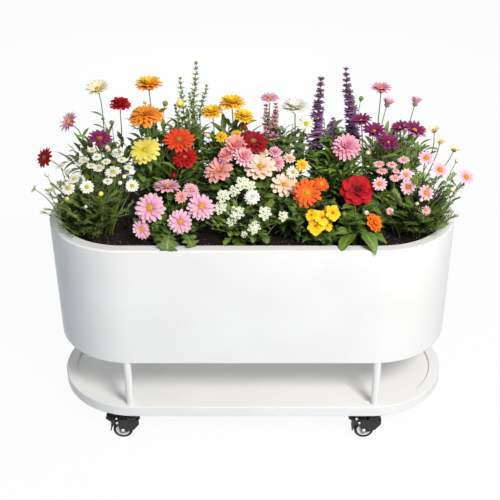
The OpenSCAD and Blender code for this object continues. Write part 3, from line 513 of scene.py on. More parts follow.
# Flowers: rows of (petals, reach, width, rise, bend, cup, start), then outline, tip, notch, wave, the
# petals' colours from outer to inner row, and the eye as (radius, height, florets, colour)
KINDS = {
    "marguerite": ([(14, 0.8, 0.4, 16, -26, -0.1, 0.2)], STRAP, 0.16, 0.03, 0, "white",
        (0.28, 0.2, 34, "lime")),
    "white_large": ([(18, 0.96, 0.32, 22, -24, 0.1, 0.12), (16, 0.88, 0.32, 40, -26, 0.1, 0.12),
        (12, 0.74, 0.32, 56, -20, 0.1, 0.1)], STRAP, 0.16, 0.04, 0, "white", (0.13, 0.12, 24, "lime")),
    "white_double": ([(14, 0.88, 0.4, 0, -12, 0.1, 0.1), (13, 0.74, 0.4, 20, 0, 0.2, 0.1),
        (11, 0.56, 0.45, 42, 14, 0.3, 0.08), (8, 0.38, 0.5, 62, 24, 0.3, 0.05)], SPOON, 0.16, 0, 0,
        "white", (0.1, 0.1, 12, "green")),
    "pink_daisy": ([(16, 0.84, 0.33, 6, -18, 0.15, 0.17), (14, 0.74, 0.32, 22, -18, 0.15, 0.16),
        (7, 0.54, 0.3, 38, -18, 0.2, 0.15)], STRAP, 0.14, 0.05, 0, "pink", (0.2, 0.14, 54, "gold")),
    "salmon_daisy": ([(12, 0.88, 0.42, 8, -16, 0.2, 0.13), (11, 0.78, 0.4, 26, -16, 0.2, 0.12),
        (7, 0.56, 0.36, 44, -12, 0.2, 0.11)], SPOON, 0.16, 0, 0, "salmon", (0.13, 0.12, 30, "gold")),
    "peach_daisy": ([(11, 0.86, 0.46, 6, -16, 0.2, 0.14), (10, 0.72, 0.44, 24, -16, 0.2, 0.14),
        (5, 0.5, 0.4, 42, -10, 0.2, 0.13)], SPOON, 0.16, 0.05, 0.08, "peach", (0.17, 0.16, 40, "gold")),
    "mum_coral": ([(16, 0.9, 0.33, -6, -4, 0.25, 0.1), (16, 0.8, 0.33, 12, 8, 0.3, 0.1),
        (14, 0.66, 0.36, 32, 18, 0.35, 0.08), (11, 0.5, 0.42, 50, 28, 0.4, 0.06),
        (7, 0.34, 0.5, 68, 30, 0.4, 0.03)], SPOON, 0.16, 0, 0, "rose coral", None),
    "mum_pink": ([(15, 0.9, 0.33, -6, -4, 0.25, 0.1), (15, 0.8, 0.33, 14, 8, 0.3, 0.1),
        (13, 0.64, 0.36, 34, 18, 0.35, 0.08), (10, 0.48, 0.42, 52, 28, 0.4, 0.06),
        (6, 0.32, 0.5, 68, 30, 0.4, 0.03)], SPOON, 0.16, 0, 0, "pale rose", None),
    "mum_pale": ([(17, 0.9, 0.31, -4, -6, 0.2, 0.1), (16, 0.8, 0.31, 12, 2, 0.25, 0.1),
        (15, 0.68, 0.33, 28, 10, 0.3, 0.08), (12, 0.52, 0.36, 44, 18, 0.35, 0.06),
        (8, 0.36, 0.42, 62, 24, 0.4, 0.03)], STRAP, 0.16, 0, 0, "rosy", None),
    "orange_daisy": ([(16, 0.87, 0.31, 0, -10, 0.12, 0.14), (13, 0.74, 0.3, 14, -10, 0.15, 0.13)], SPOON,
        0.1, 0.05, 0.06, "fire", (0.2, 0.12, 50, "gold")),
    "orange_double": ([(9, 0.88, 0.66, 4, -10, 0.1, 0.1), (9, 0.74, 0.62, 22, -2, 0.2, 0.1),
        (7, 0.5, 0.6, 46, 12, 0.3, 0.07)], BROAD, 0.2, 0.04, 0.25, "tangerine", (0.17, 0.14, 26, "amber")),
    "anemone_red": ([(8, 0.92, 0.74, 4, -12, 0.14, 0.07), (7, 0.78, 0.7, 18, -10, 0.2, 0.06),
        (4, 0.5, 0.6, 34, -6, 0.2, 0.05)], BROAD, 0.16, 0.05, 0.32, "crimson crimson wine",
        (0.16, 0.14, 64, "dark")),
    "dark_ringed": ([(17, 0.86, 0.31, 0, -10, 0.12, 0.15), (16, 0.76, 0.3, 12, -10, 0.15, 0.14),
        (13, 0.6, 0.3, 24, -8, 0.2, 0.13)], STRAP, 0.14, 0.03, 0, "wine", (0.2, 0.12, 60, "ringed")),
    "gerbera_lemon": ([(17, 0.86, 0.34, 0, -16, 0.14, 0.13), (15, 0.74, 0.34, 13, -16, 0.16, 0.13)], STRAP,
        0.15, 0.07, 0, "lemon", (0.15, 0.1, 60, "lime")),
    "gerbera_red": ([(18, 0.83, 0.28, 2, -8, 0.18, 0.17), (16, 0.7, 0.27, 15, -8, 0.18, 0.16)], STRAP,
        0.15, 0.05, 0, "vermilion", (0.24, 0.12, 84, "ringed")),
    "gerbera_crimson": ([(14, 0.84, 0.36, 2, -8, 0.15, 0.15), (13, 0.72, 0.36, 16, -6, 0.2, 0.14),
        (9, 0.5, 0.36, 34, 0, 0.2, 0.12)], SPOON, 0.15, 0.04, 0, "crimson", (0.17, 0.12, 44, "ringed")),
    "zinnia_orange": ([(18, 0.92, 0.28, 2, -20, -0.05, 0.12), (17, 0.8, 0.28, 13, -20, 0.05, 0.12),
        (14, 0.66, 0.28, 26, -20, 0.1, 0.11), (10, 0.46, 0.3, 40, -16, 0.2, 0.09)], STRAP, 0.15, 0.05, 0,
        "marigold", (0.13, 0.16, 24, "ringed")),
    "crimson_double": ([(13, 0.88, 0.44, -4, -8, 0.1, 0.1), (12, 0.78, 0.44, 16, 0, 0.2, 0.1),
        (10, 0.6, 0.48, 38, 10, 0.3, 0.07), (7, 0.42, 0.55, 60, 20, 0.3, 0.04)], SPOON, 0.15, 0.06, 0.35,
        "crimson", None),
    "golden_double": ([(18, 0.92, 0.32, 20, -30, 0.1, 0.12), (16, 0.86, 0.32, 38, -30, 0.15, 0.12),
        (13, 0.72, 0.32, 54, -24, 0.2, 0.1), (8, 0.5, 0.34, 66, -10, 0.2, 0.06)], STRAP, 0.15, 0.04, 0,
        "marigold gold", (0.1, 0.2, 14, "amber")),
    "calendula": ([(20, 0.9, 0.28, 12, -24, 0.1, 0.12), (18, 0.82, 0.29, 30, -24, 0.15, 0.12),
        (15, 0.68, 0.3, 46, -18, 0.2, 0.1), (10, 0.5, 0.32, 62, -8, 0.2, 0.07)], STRAP, 0.15, 0.04, 0,
        "gold sun", (0.12, 0.16, 26, "amber")),
    "yellow_small": ([(10, 0.84, 0.44, 6, -12, 0.1, 0.14), (8, 0.64, 0.44, 26, -4, 0.2, 0.12)], SPOON,
        0.15, 0.03, 0, "yellow gold", (0.22, 0.16, 24, "amber")),
    "magenta_daisy": ([(13, 0.88, 0.34, 20, -26, 0.1, 0.13), (12, 0.78, 0.34, 36, -22, 0.15, 0.12)], STRAP,
        0.16, 0, 0, "magenta", (0.13, 0.14, 34, "amber")),
    "magenta_pale": ([(13, 0.88, 0.32, 20, -26, 0.1, 0.14), (12, 0.78, 0.32, 36, -22, 0.15, 0.13)], STRAP,
        0.16, 0, 0, "orchid magenta", (0.2, 0.16, 30, "amber")),
    "magenta_ringed": ([(14, 0.88, 0.34, 18, -24, 0.1, 0.16), (13, 0.78, 0.34, 30, -22, 0.15, 0.15)],
        STRAP, 0.16, 0, 0, "magenta", (0.26, 0.14, 50, "ringed")),
    "dark_red": ([(13, 0.84, 0.36, 10, -22, 0.1, 0.15), (11, 0.7, 0.36, 26, -16, 0.15, 0.14)], STRAP, 0.16,
        0.03, 0, "crimson wine", (0.22, 0.18, 30, "brown")),
    "pink_striped": ([(12, 0.84, 0.34, 10, -16, 0.1, 0.15), (10, 0.7, 0.34, 26, -10, 0.15, 0.14)], POINT,
        0.2, 0, 0, "orchid pink", (0.22, 0.18, 28, "gold")),
    "cream_tall": ([(16, 0.92, 0.32, 30, -26, 0.1, 0.14), (14, 0.82, 0.32, 46, -24, 0.1, 0.13)], STRAP,
        0.16, 0.03, 0, "cream", (0.22, 0.24, 32, "gold")),
    "pink_tall": ([(15, 0.9, 0.3, 34, -44, 0.1, 0.14), (13, 0.78, 0.3, 50, -36, 0.1, 0.13)], STRAP, 0.16,
        0, 0, "candy", (0.22, 0.2, 30, "amber")),
    "pale_daisy": ([(12, 0.8, 0.4, 12, -22, 0.0, 0.2)], STRAP, 0.16, 0.02, 0, "pale",
        (0.3, 0.2, 30, "amber")),
    "pale_cup": ([(11, 1.15, 0.36, 58, -10, 0.2, 0.16), (9, 1.0, 0.36, 68, -4, 0.2, 0.1)], SPOON, 0.15, 0,
        0, "pale pink", (0.24, 0.3, 20, "gold")),
    "cream_daisy": ([(14, 0.82, 0.32, 8, -20, 0.05, 0.18), (11, 0.7, 0.3, 20, -16, 0.05, 0.16)], STRAP,
        0.16, 0.03, 0, "cream white", (0.26, 0.18, 44, "lime")),
    "cream_small": ([(12, 0.86, 0.44, 44, -30, 0.05, 0.18)], STRAP, 0.16, 0.02, 0, "cream",
        (0.3, 0.26, 24, "gold")),
}


# Flowers

# Where the photograph's lens stands, to the millimetre
FRONT = np.round(LENS_AT)
# The heads that no leaf may stand in front of, as (x, y, z, radius), and the share of the radius that counts
HEADS = []
HIDDEN_SHARE = 0.74
# Under this radius a flower has shorter stem leaves, and coarser petals where it has one row
SMALL_HEAD = 22


def behind(across, down, depth):
    """The place a pixel shows at a depth behind the bed's middle, and the millimetres in a pixel there."""
    right, up = (across - CENTRE_PX[0]) / FOCAL_PX, (CENTRE_PX[1] - down) / FOCAL_PX
    ray = np.array([right, math.cos(PITCH) + up * math.sin(PITCH), up * math.cos(PITCH) - math.sin(PITCH)])
    far = (depth - LENS_AT[1]) / ray[1]
    return LENS_AT + far * ray, far / FOCAL_PX


def heads_of(plant):
    """A plant's heads as (kind, place, radius, tilt, turn, run), to whole millimetres."""
    for kind, *marks in plant.heads:
        for mark in marks:
            m = Mark(*mark)
            place, scale = behind(m.across, m.down, m.depth)
            foot, _ = behind(m.across, m.down + m.run, m.depth)
            yield kind, np.round(place), round(m.wide * scale / 2), m.tilt, m.turn, round(place[2] - foot[2])


def hides(points):
    """Whether a leaf would stand between a head and the lens."""
    heads = np.array(HEADS)
    ahead = unit(FRONT - heads[:, :3])
    off = points.reshape(-1, 1, 3) - heads[None, :, :3]
    along = (off * ahead).sum(-1)
    aside = np.linalg.norm(off - along[..., None] * ahead, axis=-1)
    return bool(((along > 0) & (aside < HIDDEN_SHARE * heads[:, 3])).any())


class Head:
    """A flower head: its place, radius and facing, with one piece for its petals and one for its greens."""

    def __init__(self, petals, greens, root, at, r, tilt, turn):
        self.petals, self.greens, self.root, self.at, self.r = petals, greens, root, at, r
        self.tilt, self.turn = tilt, turn
        self.facing = turned(tilt, turn)
        self.aim = self.facing[:, 2]

    def roll(self, degrees):
        self.facing = self.facing @ about_z(degrees)

    def above(self, share):
        """The point on the head's axis that lies a share of its radius above it."""
        return self.at + self.aim * share * self.r

    def placed(self, p, out, up, turn):
        """A petal made along +X, moved out and up, turned round the head's axis and set on the head."""
        p[..., 0] += out
        p[..., 2] += up
        return p @ about_z(turn).T @ self.facing.T + self.at


def florets(head, up, eye):
    """The eye: a low dome packed with florets in a spiral, over a plain cushion."""
    share, height, count, colour = eye
    at, r = head.above(up), head.r
    big, tall = share * r, height * r
    shade = shades["eye_" + colour]
    dome = [(big * 0.98, -0.06 * r), (big, tall * 0.2), (big * 0.8, tall * 0.62), (big * 0.42, tall * 0.9),
            (big * 0.1, tall * 0.94)]
    head.petals.spun(at, head.facing, dome, shade, 10, 0.3)
    size = 0.92 * big / math.sqrt(count)
    around = circle(5)[:, None]
    for k in range(count):
        q = math.sqrt((k + 0.5) / count)
        turn = k * GOLDEN
        out = np.array([math.cos(turn) * math.sin(q * 1.15), math.sin(turn) * math.sin(q * 1.15),
                        math.cos(q * 1.15)])
        base = np.array([big * q * math.cos(turn), big * q * math.sin(turn), tall * (0.94 - 0.72 * q ** 2.2)])
        side = unit(np.cross(out, [0.2, 0.9, 0.4]))
        other = np.cross(out, side)
        ring = base - out * size * 0.5 + size * (np.cos(around) * side + np.sin(around) * other)
        cap = base + out * size * 0.35 + 0.55 * (ring - base)
        points = np.concatenate([ring, cap, [base + out * size * (0.8 + 0.3 * RNG.random())]])
        faces = [[i, (i + 1) % 5, 5 + (i + 1) % 5, 5 + i] for i in range(5)]
        faces += [[5 + i, 5 + (i + 1) % 5, 10, 10] for i in range(5)]
        faces += [[4, 3, 2, 0], [2, 1, 0, 0]]
        tones = np.tile([q, 0.5, RNG.random(), 1.0], (len(points), 1))
        head.petals.add(points @ head.facing.T + at, faces, shade, tones)


def petal_ring(head, level, row, form, shade, grid):
    """One row of petals: the rows are numbered by level, from the outer one inwards and up."""
    count, reach, width, rise, bend, cup, start = row
    outline, tip, notch, wave = form
    r = head.r
    for i in range(count):
        length = reach * r * vary(0.92, 1.05)
        p = curl(length, width * reach * r * vary(0.9, 1.1), outline, rise + vary(-5, 5),
                 bend + vary(-8, 8), cup, tip, notch, 0, wave, vary(1.2, 2.2), *grid)
        p[..., 1] += length * vary(-0.04, 0.04) * (p[..., 0] / length) ** 2
        turn = level * 180 / count + 7 * level + (i + vary(-0.12, 0.12)) * 360 / count
        p = head.placed(p, start * r, 0.035 * r * level + 0.012 * r * (i % 2), turn)
        head.petals.blade(keep_clear(p), 0.028 * r + 0.25, shade, RNG.random())


def stem(piece, crown, at, aim, radius, leaves, length):
    """A stem that leaves the crown upwards and meets the head along its axis, with a few small leaves."""
    away = unit(np.array([at[0] - crown[0], at[1] - crown[1], 0.0]) + 1e-6)
    foot = crown + away * vary(1, 9) + [0, 0, -6]
    gap = np.linalg.norm(at - foot)
    path = bezier(foot, foot + [0, 0, 0.42 * gap] + away * 0.1 * gap, at - aim * 0.34 * gap, at)
    bow = np.sin(np.linspace(0, math.pi, 9))[:, None] * vary(-0.02, 0.02) * gap
    path = keep_clear_of_rim(path + bow * unit(np.cross(away, [0, 0, 1.0])))
    piece.tube(path, np.linspace(radius * 1.25, radius * 0.8, 9), GREEN, 6, RNG.random())
    for k in range(leaves):
        i = 2 + int((k + RNG.random()) * 4.5 / leaves)
        p = curl(length * vary(0.8, 1.2), length * 0.26, LANCE, vary(25, 55), vary(-50, -15), 0, 0.1, 0, 0.25,
                 n=5, m=3)
        p = keep_clear(p @ about_z(vary(0, 360)).T + path[i])
        if not hides(p):
            piece.blade(p, 0.5, shades["broad"], RNG.random())


def cup_of(head, depth=0.32, wide=0.3):
    """The green cup under a head, with its sepals."""
    r = head.r
    cup = [(0.06 * r, -depth * r), (0.6 * wide * r, -0.8 * depth * r), (wide * r, -0.42 * depth * r),
           (wide * 1.06 * r, -0.08 * depth * r), (0.6 * wide * r, 0.02 * r)]
    head.greens.spun(head.at, head.facing, cup, GREEN, 10, 0.4, 0.04)
    for i in range(10):
        p = curl(0.42 * r, 0.17 * r, POINT, 34, 10, -0.2, 0.2, n=3, m=3)
        p = head.placed(p, 0.55 * wide * r, -0.62 * depth * r, i * 36 + 10)
        head.greens.blade(p, 0.05 * r, GREEN, RNG.random())


def flower(head, kind):
    """A head of one or more rows of petals round an eye."""
    rows, *form, colours, eye = KINDS[kind]
    colours = colours.split()
    head.roll(vary(0, 360))
    small = head.r < SMALL_HEAD
    for level, row in enumerate(rows):
        shade = shades[colours[min(level, len(colours) - 1)]]
        petal_ring(head, level, row, form, shade, (5, 3) if small and len(rows) < 2 else (6, 5))
    if eye:
        florets(head, 0.03 * len(rows), eye)
    cup_of(head)
    stem(head.greens, head.root, head.above(-0.3), head.aim, 0.9 + 0.022 * head.r,
         *((2, 16) if small else (5, 38)))


def pansy(head, colour):
    """Five broad petals, one of them at the bottom, round a small dark eye."""
    r = head.r
    for angle, reach, width, rise in ((148, 0.98, 0.92, 4), (-148, 0.98, 0.92, 2), (72, 0.9, 0.88, 10),
                                      (-72, 0.9, 0.88, 9), (0, 1.0, 1.16, 14)):
        p = curl(reach * r, width * reach * r, PANSY, rise, -16, 0.2, 0.34, 0.05, 0, 0.26, 1.6, 7, 7)
        p = head.placed(p, 0.03 * r, 0.03 * r * (1 + rise / 6), angle + vary(-5, 5))
        head.petals.blade(keep_clear(p), 0.04 * r, shades[colour], RNG.random())
    florets(head, 0.1, (0.16, 0.12, 12, "ringed"))
    cup_of(head, 0.24, 0.16)
    stem(head.greens, head.root, head.above(-0.22), head.aim, 1.0, 1, 18)


def umbel(head):
    """A flat-topped head of many small five-petalled florets on their own stalks."""
    r = head.r
    hub = head.above(-0.8)
    count = 15
    for k in range(count):
        q = math.sqrt((k + 0.5) / count)
        a = k * GOLDEN
        spot = head.at + head.facing @ np.array([r * 0.95 * q * math.cos(a), r * 0.95 * q * math.sin(a),
                                                 r * (0.16 - 0.34 * q * q) + r * vary(-0.05, 0.05)])
        stalk = bezier(hub, hub + (spot - hub) * 0.4, spot - head.aim * 0.3 * r, spot, 4)
        head.greens.tube(stalk, 0.45, GREEN, 4)
        lean = turned(head.tilt + vary(-18, 18), head.turn + vary(-18, 18), vary(0, 90))
        size = r * vary(0.26, 0.33)
        for i in range(5):
            p = curl(size, size * 0.95, (0.3, 0.9, 1.0, 0.7), 12, -18, 0.15, 0.3, n=3, m=3)
            p = p @ about_z(i * 72).T @ lean.T + spot
            head.petals.blade(p, 0.5, shades["ivory"], RNG.random())
        dome = [(size * 0.24, -0.2), (size * 0.3, size * 0.18), (size * 0.12, size * 0.3)]
        head.petals.spun(spot, lean, dome, shades["eye_green"], 5, 0.5)
    stem(head.greens, head.root, hub, head.aim, 1.1, 2, 20)


# The shade of each bud
BUDS = {"peach": "peach", "white": "cream", "yellow": "lemon", "red": "crimson", "green": "stem",
        "brown": "gold"}


def bud(head, colour):
    """A closed bud: an egg of folded petals half wrapped in sepals."""
    r = head.r
    head.roll(vary(0, 90))
    egg = [(a * r * 0.86, b * r * 0.86) for a, b in EGG]
    head.petals.spun(head.above(-0.4), head.facing, egg, shades[BUDS[colour]], 10, RNG.random(), 0.05)
    for i in range(7):
        p = curl(1.35 * r, 0.62 * r, POINT, 66, 34, -0.3, 0.2, n=4, m=3)
        p = head.placed(p, 0.34 * r, -0.5 * r, i * 360 / 7)
        head.greens.blade(p, 0.07 * r, GREEN, RNG.random())
    cup = [(0.1 * r, -0.85 * r), (0.5 * r, -0.62 * r), (0.62 * r, -0.3 * r), (0.4 * r, -0.1 * r)]
    head.greens.spun(head.at, head.facing, cup, GREEN, 8, 0.5)
    stem(head.greens, head.root, head.above(-0.7), head.aim, 0.95, 2, 14)


# Spikes as (colour, gap between whorls in radii, florets in a whorl, shade of the bracts)
SPIKES = {"salvia": ("violet", 0.68, 8, "bract"), "pink": ("mauve", 0.56, 7, "stem"),
          "green": ("young", 0.72, 4, None)}


def spire(head, run, kind):
    """A tall spike: whorls of florets, or of small leaves and buds, that shrink towards the tip."""
    colour, gap, count, bract = SPIKES[kind]
    shade = shades[colour]
    top, petals, greens = head.at, head.petals, head.greens
    base = top - [head.tilt * run / 40, 0.02 * run, run]
    axis = bezier(base, base + [0, 0, run * 0.4], top - [0, 0, run * 0.3], top, 12)
    stem(greens, head.root, base, np.array([0, 0, 1.0]), 1.6, 6, 40)
    greens.tube(axis, np.linspace(1.7, 0.7, 12), GREEN)
    whorls = int(run / (head.r * gap))
    for k in range(whorls):
        q = (k + 0.3) / whorls
        spot = point_on(axis, q)
        size = head.r * (1.0 - 0.62 * q ** 1.3) * vary(0.9, 1.08)
        for i in range(count):
            turn = about_z(i * 360 / count + k * 31 + vary(-12, 12))
            rise = vary(8, 38) + 26 * q
            if kind == "green":
                p = curl(size * 1.35, size * 0.55, LANCE, rise + 8, -34, 0, 0.1, 0, 0.2, n=4, m=3)
                greens.blade(p @ turn.T + spot, 0.4, shade, RNG.random())
                out = size * vary(0.25, 0.5)
                greens.spun(spot + turn @ np.array([out, 0, 0.6 * out]), turn,
                            [(0.6, -1.2), (1.7, 0.4), (1.5, 2.0), (0.5, 3.2)], shade, 5, RNG.random())
                continue
            cup = curl(size * 0.5, size * 0.36, POINT, rise + 14, -8, -0.5, 0.2, n=3, m=3)
            greens.blade(cup @ turn.T + spot, 0.9, shades[bract], RNG.random())
            for level, extra in ((0.0, 12), (1.6, -16)):
                p = curl(size * vary(0.85, 1.2), size * 0.58, (0.35, 0.6, 0.85, 1.0, 0.8), rise + extra, -40,
                         -0.35, 0.2, n=4, m=3)
                p[..., 2] += level
                petals.blade(p @ turn.T + spot, 0.6, shade, RNG.random())
        if kind == "salvia":
            ball = [(0.2 * size, -0.2 * size), (0.34 * size, 0.05 * size), (0.26 * size, 0.34 * size),
                    (0.1, 0.44 * size)]
            petals.spun(spot, np.eye(3), ball, shades[bract], 8, RNG.random(), 0.15)


# Leaves as (outline, steps along, fold, wave, waves)
FORMS = {"lobed": (LOBED, 11, 0.12, 0.16, 2.5), "large": (BROAD_LOBED, 22, 0.14, 0.2, 3.2),
         "ovate": (OVATE, 6, 0.22, 0.1, 1.5), "lance": (LANCE, 5, 0.3, 0.05, 1.5)}


def frond(piece, root, heading, rise, length, shade):
    """A feathery leaf: a thin rib with pairs of narrow, forked segments."""
    rib = curl(length, 1.6, (1, 0.8, 0.5, 0.3), rise, -30, n=8, m=3)
    mid = rib[:, 1] @ about_z(heading).T + root
    if hides(mid):
        return
    piece.tube(keep_clear(mid), np.linspace(0.95, 0.45, 9), shade, 4, RNG.random())
    pairs = 5
    for k in range(pairs):
        q = 0.22 + 0.74 * k / pairs
        spot = point_on(mid, q)
        size = length * 0.42 * math.sin(math.pi * (0.25 + 0.62 * q))
        for side in (-1, 1):
            for fork, share, lead in ((0, 1.0, 0.0), (32, 0.55, 0.3)):
                if fork and RNG.random() < 0.35:
                    continue
                p = curl(size * share * vary(0.8, 1.15), 3.7, (0.5, 0.9, 1.0, 0.8, 0.3),
                         rise * 0.5 + vary(4, 34), -22, n=3, m=3)
                p = p @ about_z(heading + side * (46 + vary(-8, 8)) + fork).T
                ahead = about_z(heading + side * 46) @ np.array([size * lead, 0, size * lead * 0.3])
                piece.blade(keep_clear(p + spot + ahead), 0.55, shade, RNG.random())


def leaf(piece, root, heading, rise, length, width, form, shade, bend):
    outline, n, fold, wave, waves = FORMS[form]
    p = curl(length, width, outline, rise, bend, 0, 0.02, 0, fold, wave, waves, n, 3 if width < 20 else 5)
    tip_over = math.radians(vary(-24, 24))
    p[..., 2] += p[..., 1] * math.sin(tip_over)
    p[..., 1] *= math.cos(tip_over)
    p = keep_clear(p @ about_z(heading).T + root)
    if not hides(p):
        piece.blade(p, 0.55, shade, RNG.random())


def bush(piece, crown, shoots, height, spread, per_shoot, form, length, width, colours, squash):
    """Leafy shoots that fan out from the crown, the outer ones lower, with bare feet; most leaves low inside
    the bush take the near-black shade green, painted shade.
    """
    dome, bare = 0.42, 0.1
    colours = colours.split()
    for i in range(shoots):
        turn = i * GOLDEN + vary(-0.3, 0.3)
        out = math.sqrt((i + 0.4) / shoots)
        reach = spread * out * vary(0.85, 1.1)
        top = crown + [reach * math.cos(turn), reach * squash * math.sin(turn),
                       height * (1 - dome * out * out) * vary(0.74, 1.06)]
        foot = crown + [4 * math.cos(turn), 4 * math.sin(turn), -6]
        path = keep_clear_of_rim(bezier(foot, foot + (top - foot) * [0.25, 0.25, 0.55],
                                        top - (top - foot) * [0.3, 0.3, 0.12], top))
        piece.tube(keep_clear(path), np.linspace(1.7, 0.7, 9), GREEN, 5, RNG.random())
        for j in range(per_shoot):
            q = bare + (1 - bare) * (j + 0.5) / per_shoot
            spot = point_on(path, q)
            heading = math.degrees(turn) + vary(-35, 35)
            heading += 0 if q > 0.85 else 90 * (-1) ** j + vary(-30, 30)
            size = (1.08 - 0.42 * q) * vary(0.8, 1.15)
            # Lower leaves of all but the outermost shoots mostly take the near-black shade green: painted
            # shade inside the foliage
            inner = q < (0.56 if form == "fern" else 0.42) and out < 0.9
            shade = shades["shade" if inner and RNG.random() < 0.85 else RNG.choice(colours)]
            rise = (vary(16, 46) if form in ("lance", "fern") else vary(2, 32)) + 28 * q
            if form == "fern":
                frond(piece, spot, heading, rise, length * size, shade)
            else:
                leaf(piece, spot, heading, rise, length * size, width * size, form, shade, vary(-70, -20))


Mark = namedtuple("Mark", "across down depth wide tilt turn run", defaults=(0,))
Plant = namedtuple("Plant", "slot crown bushes heads leaves", defaults=((),))

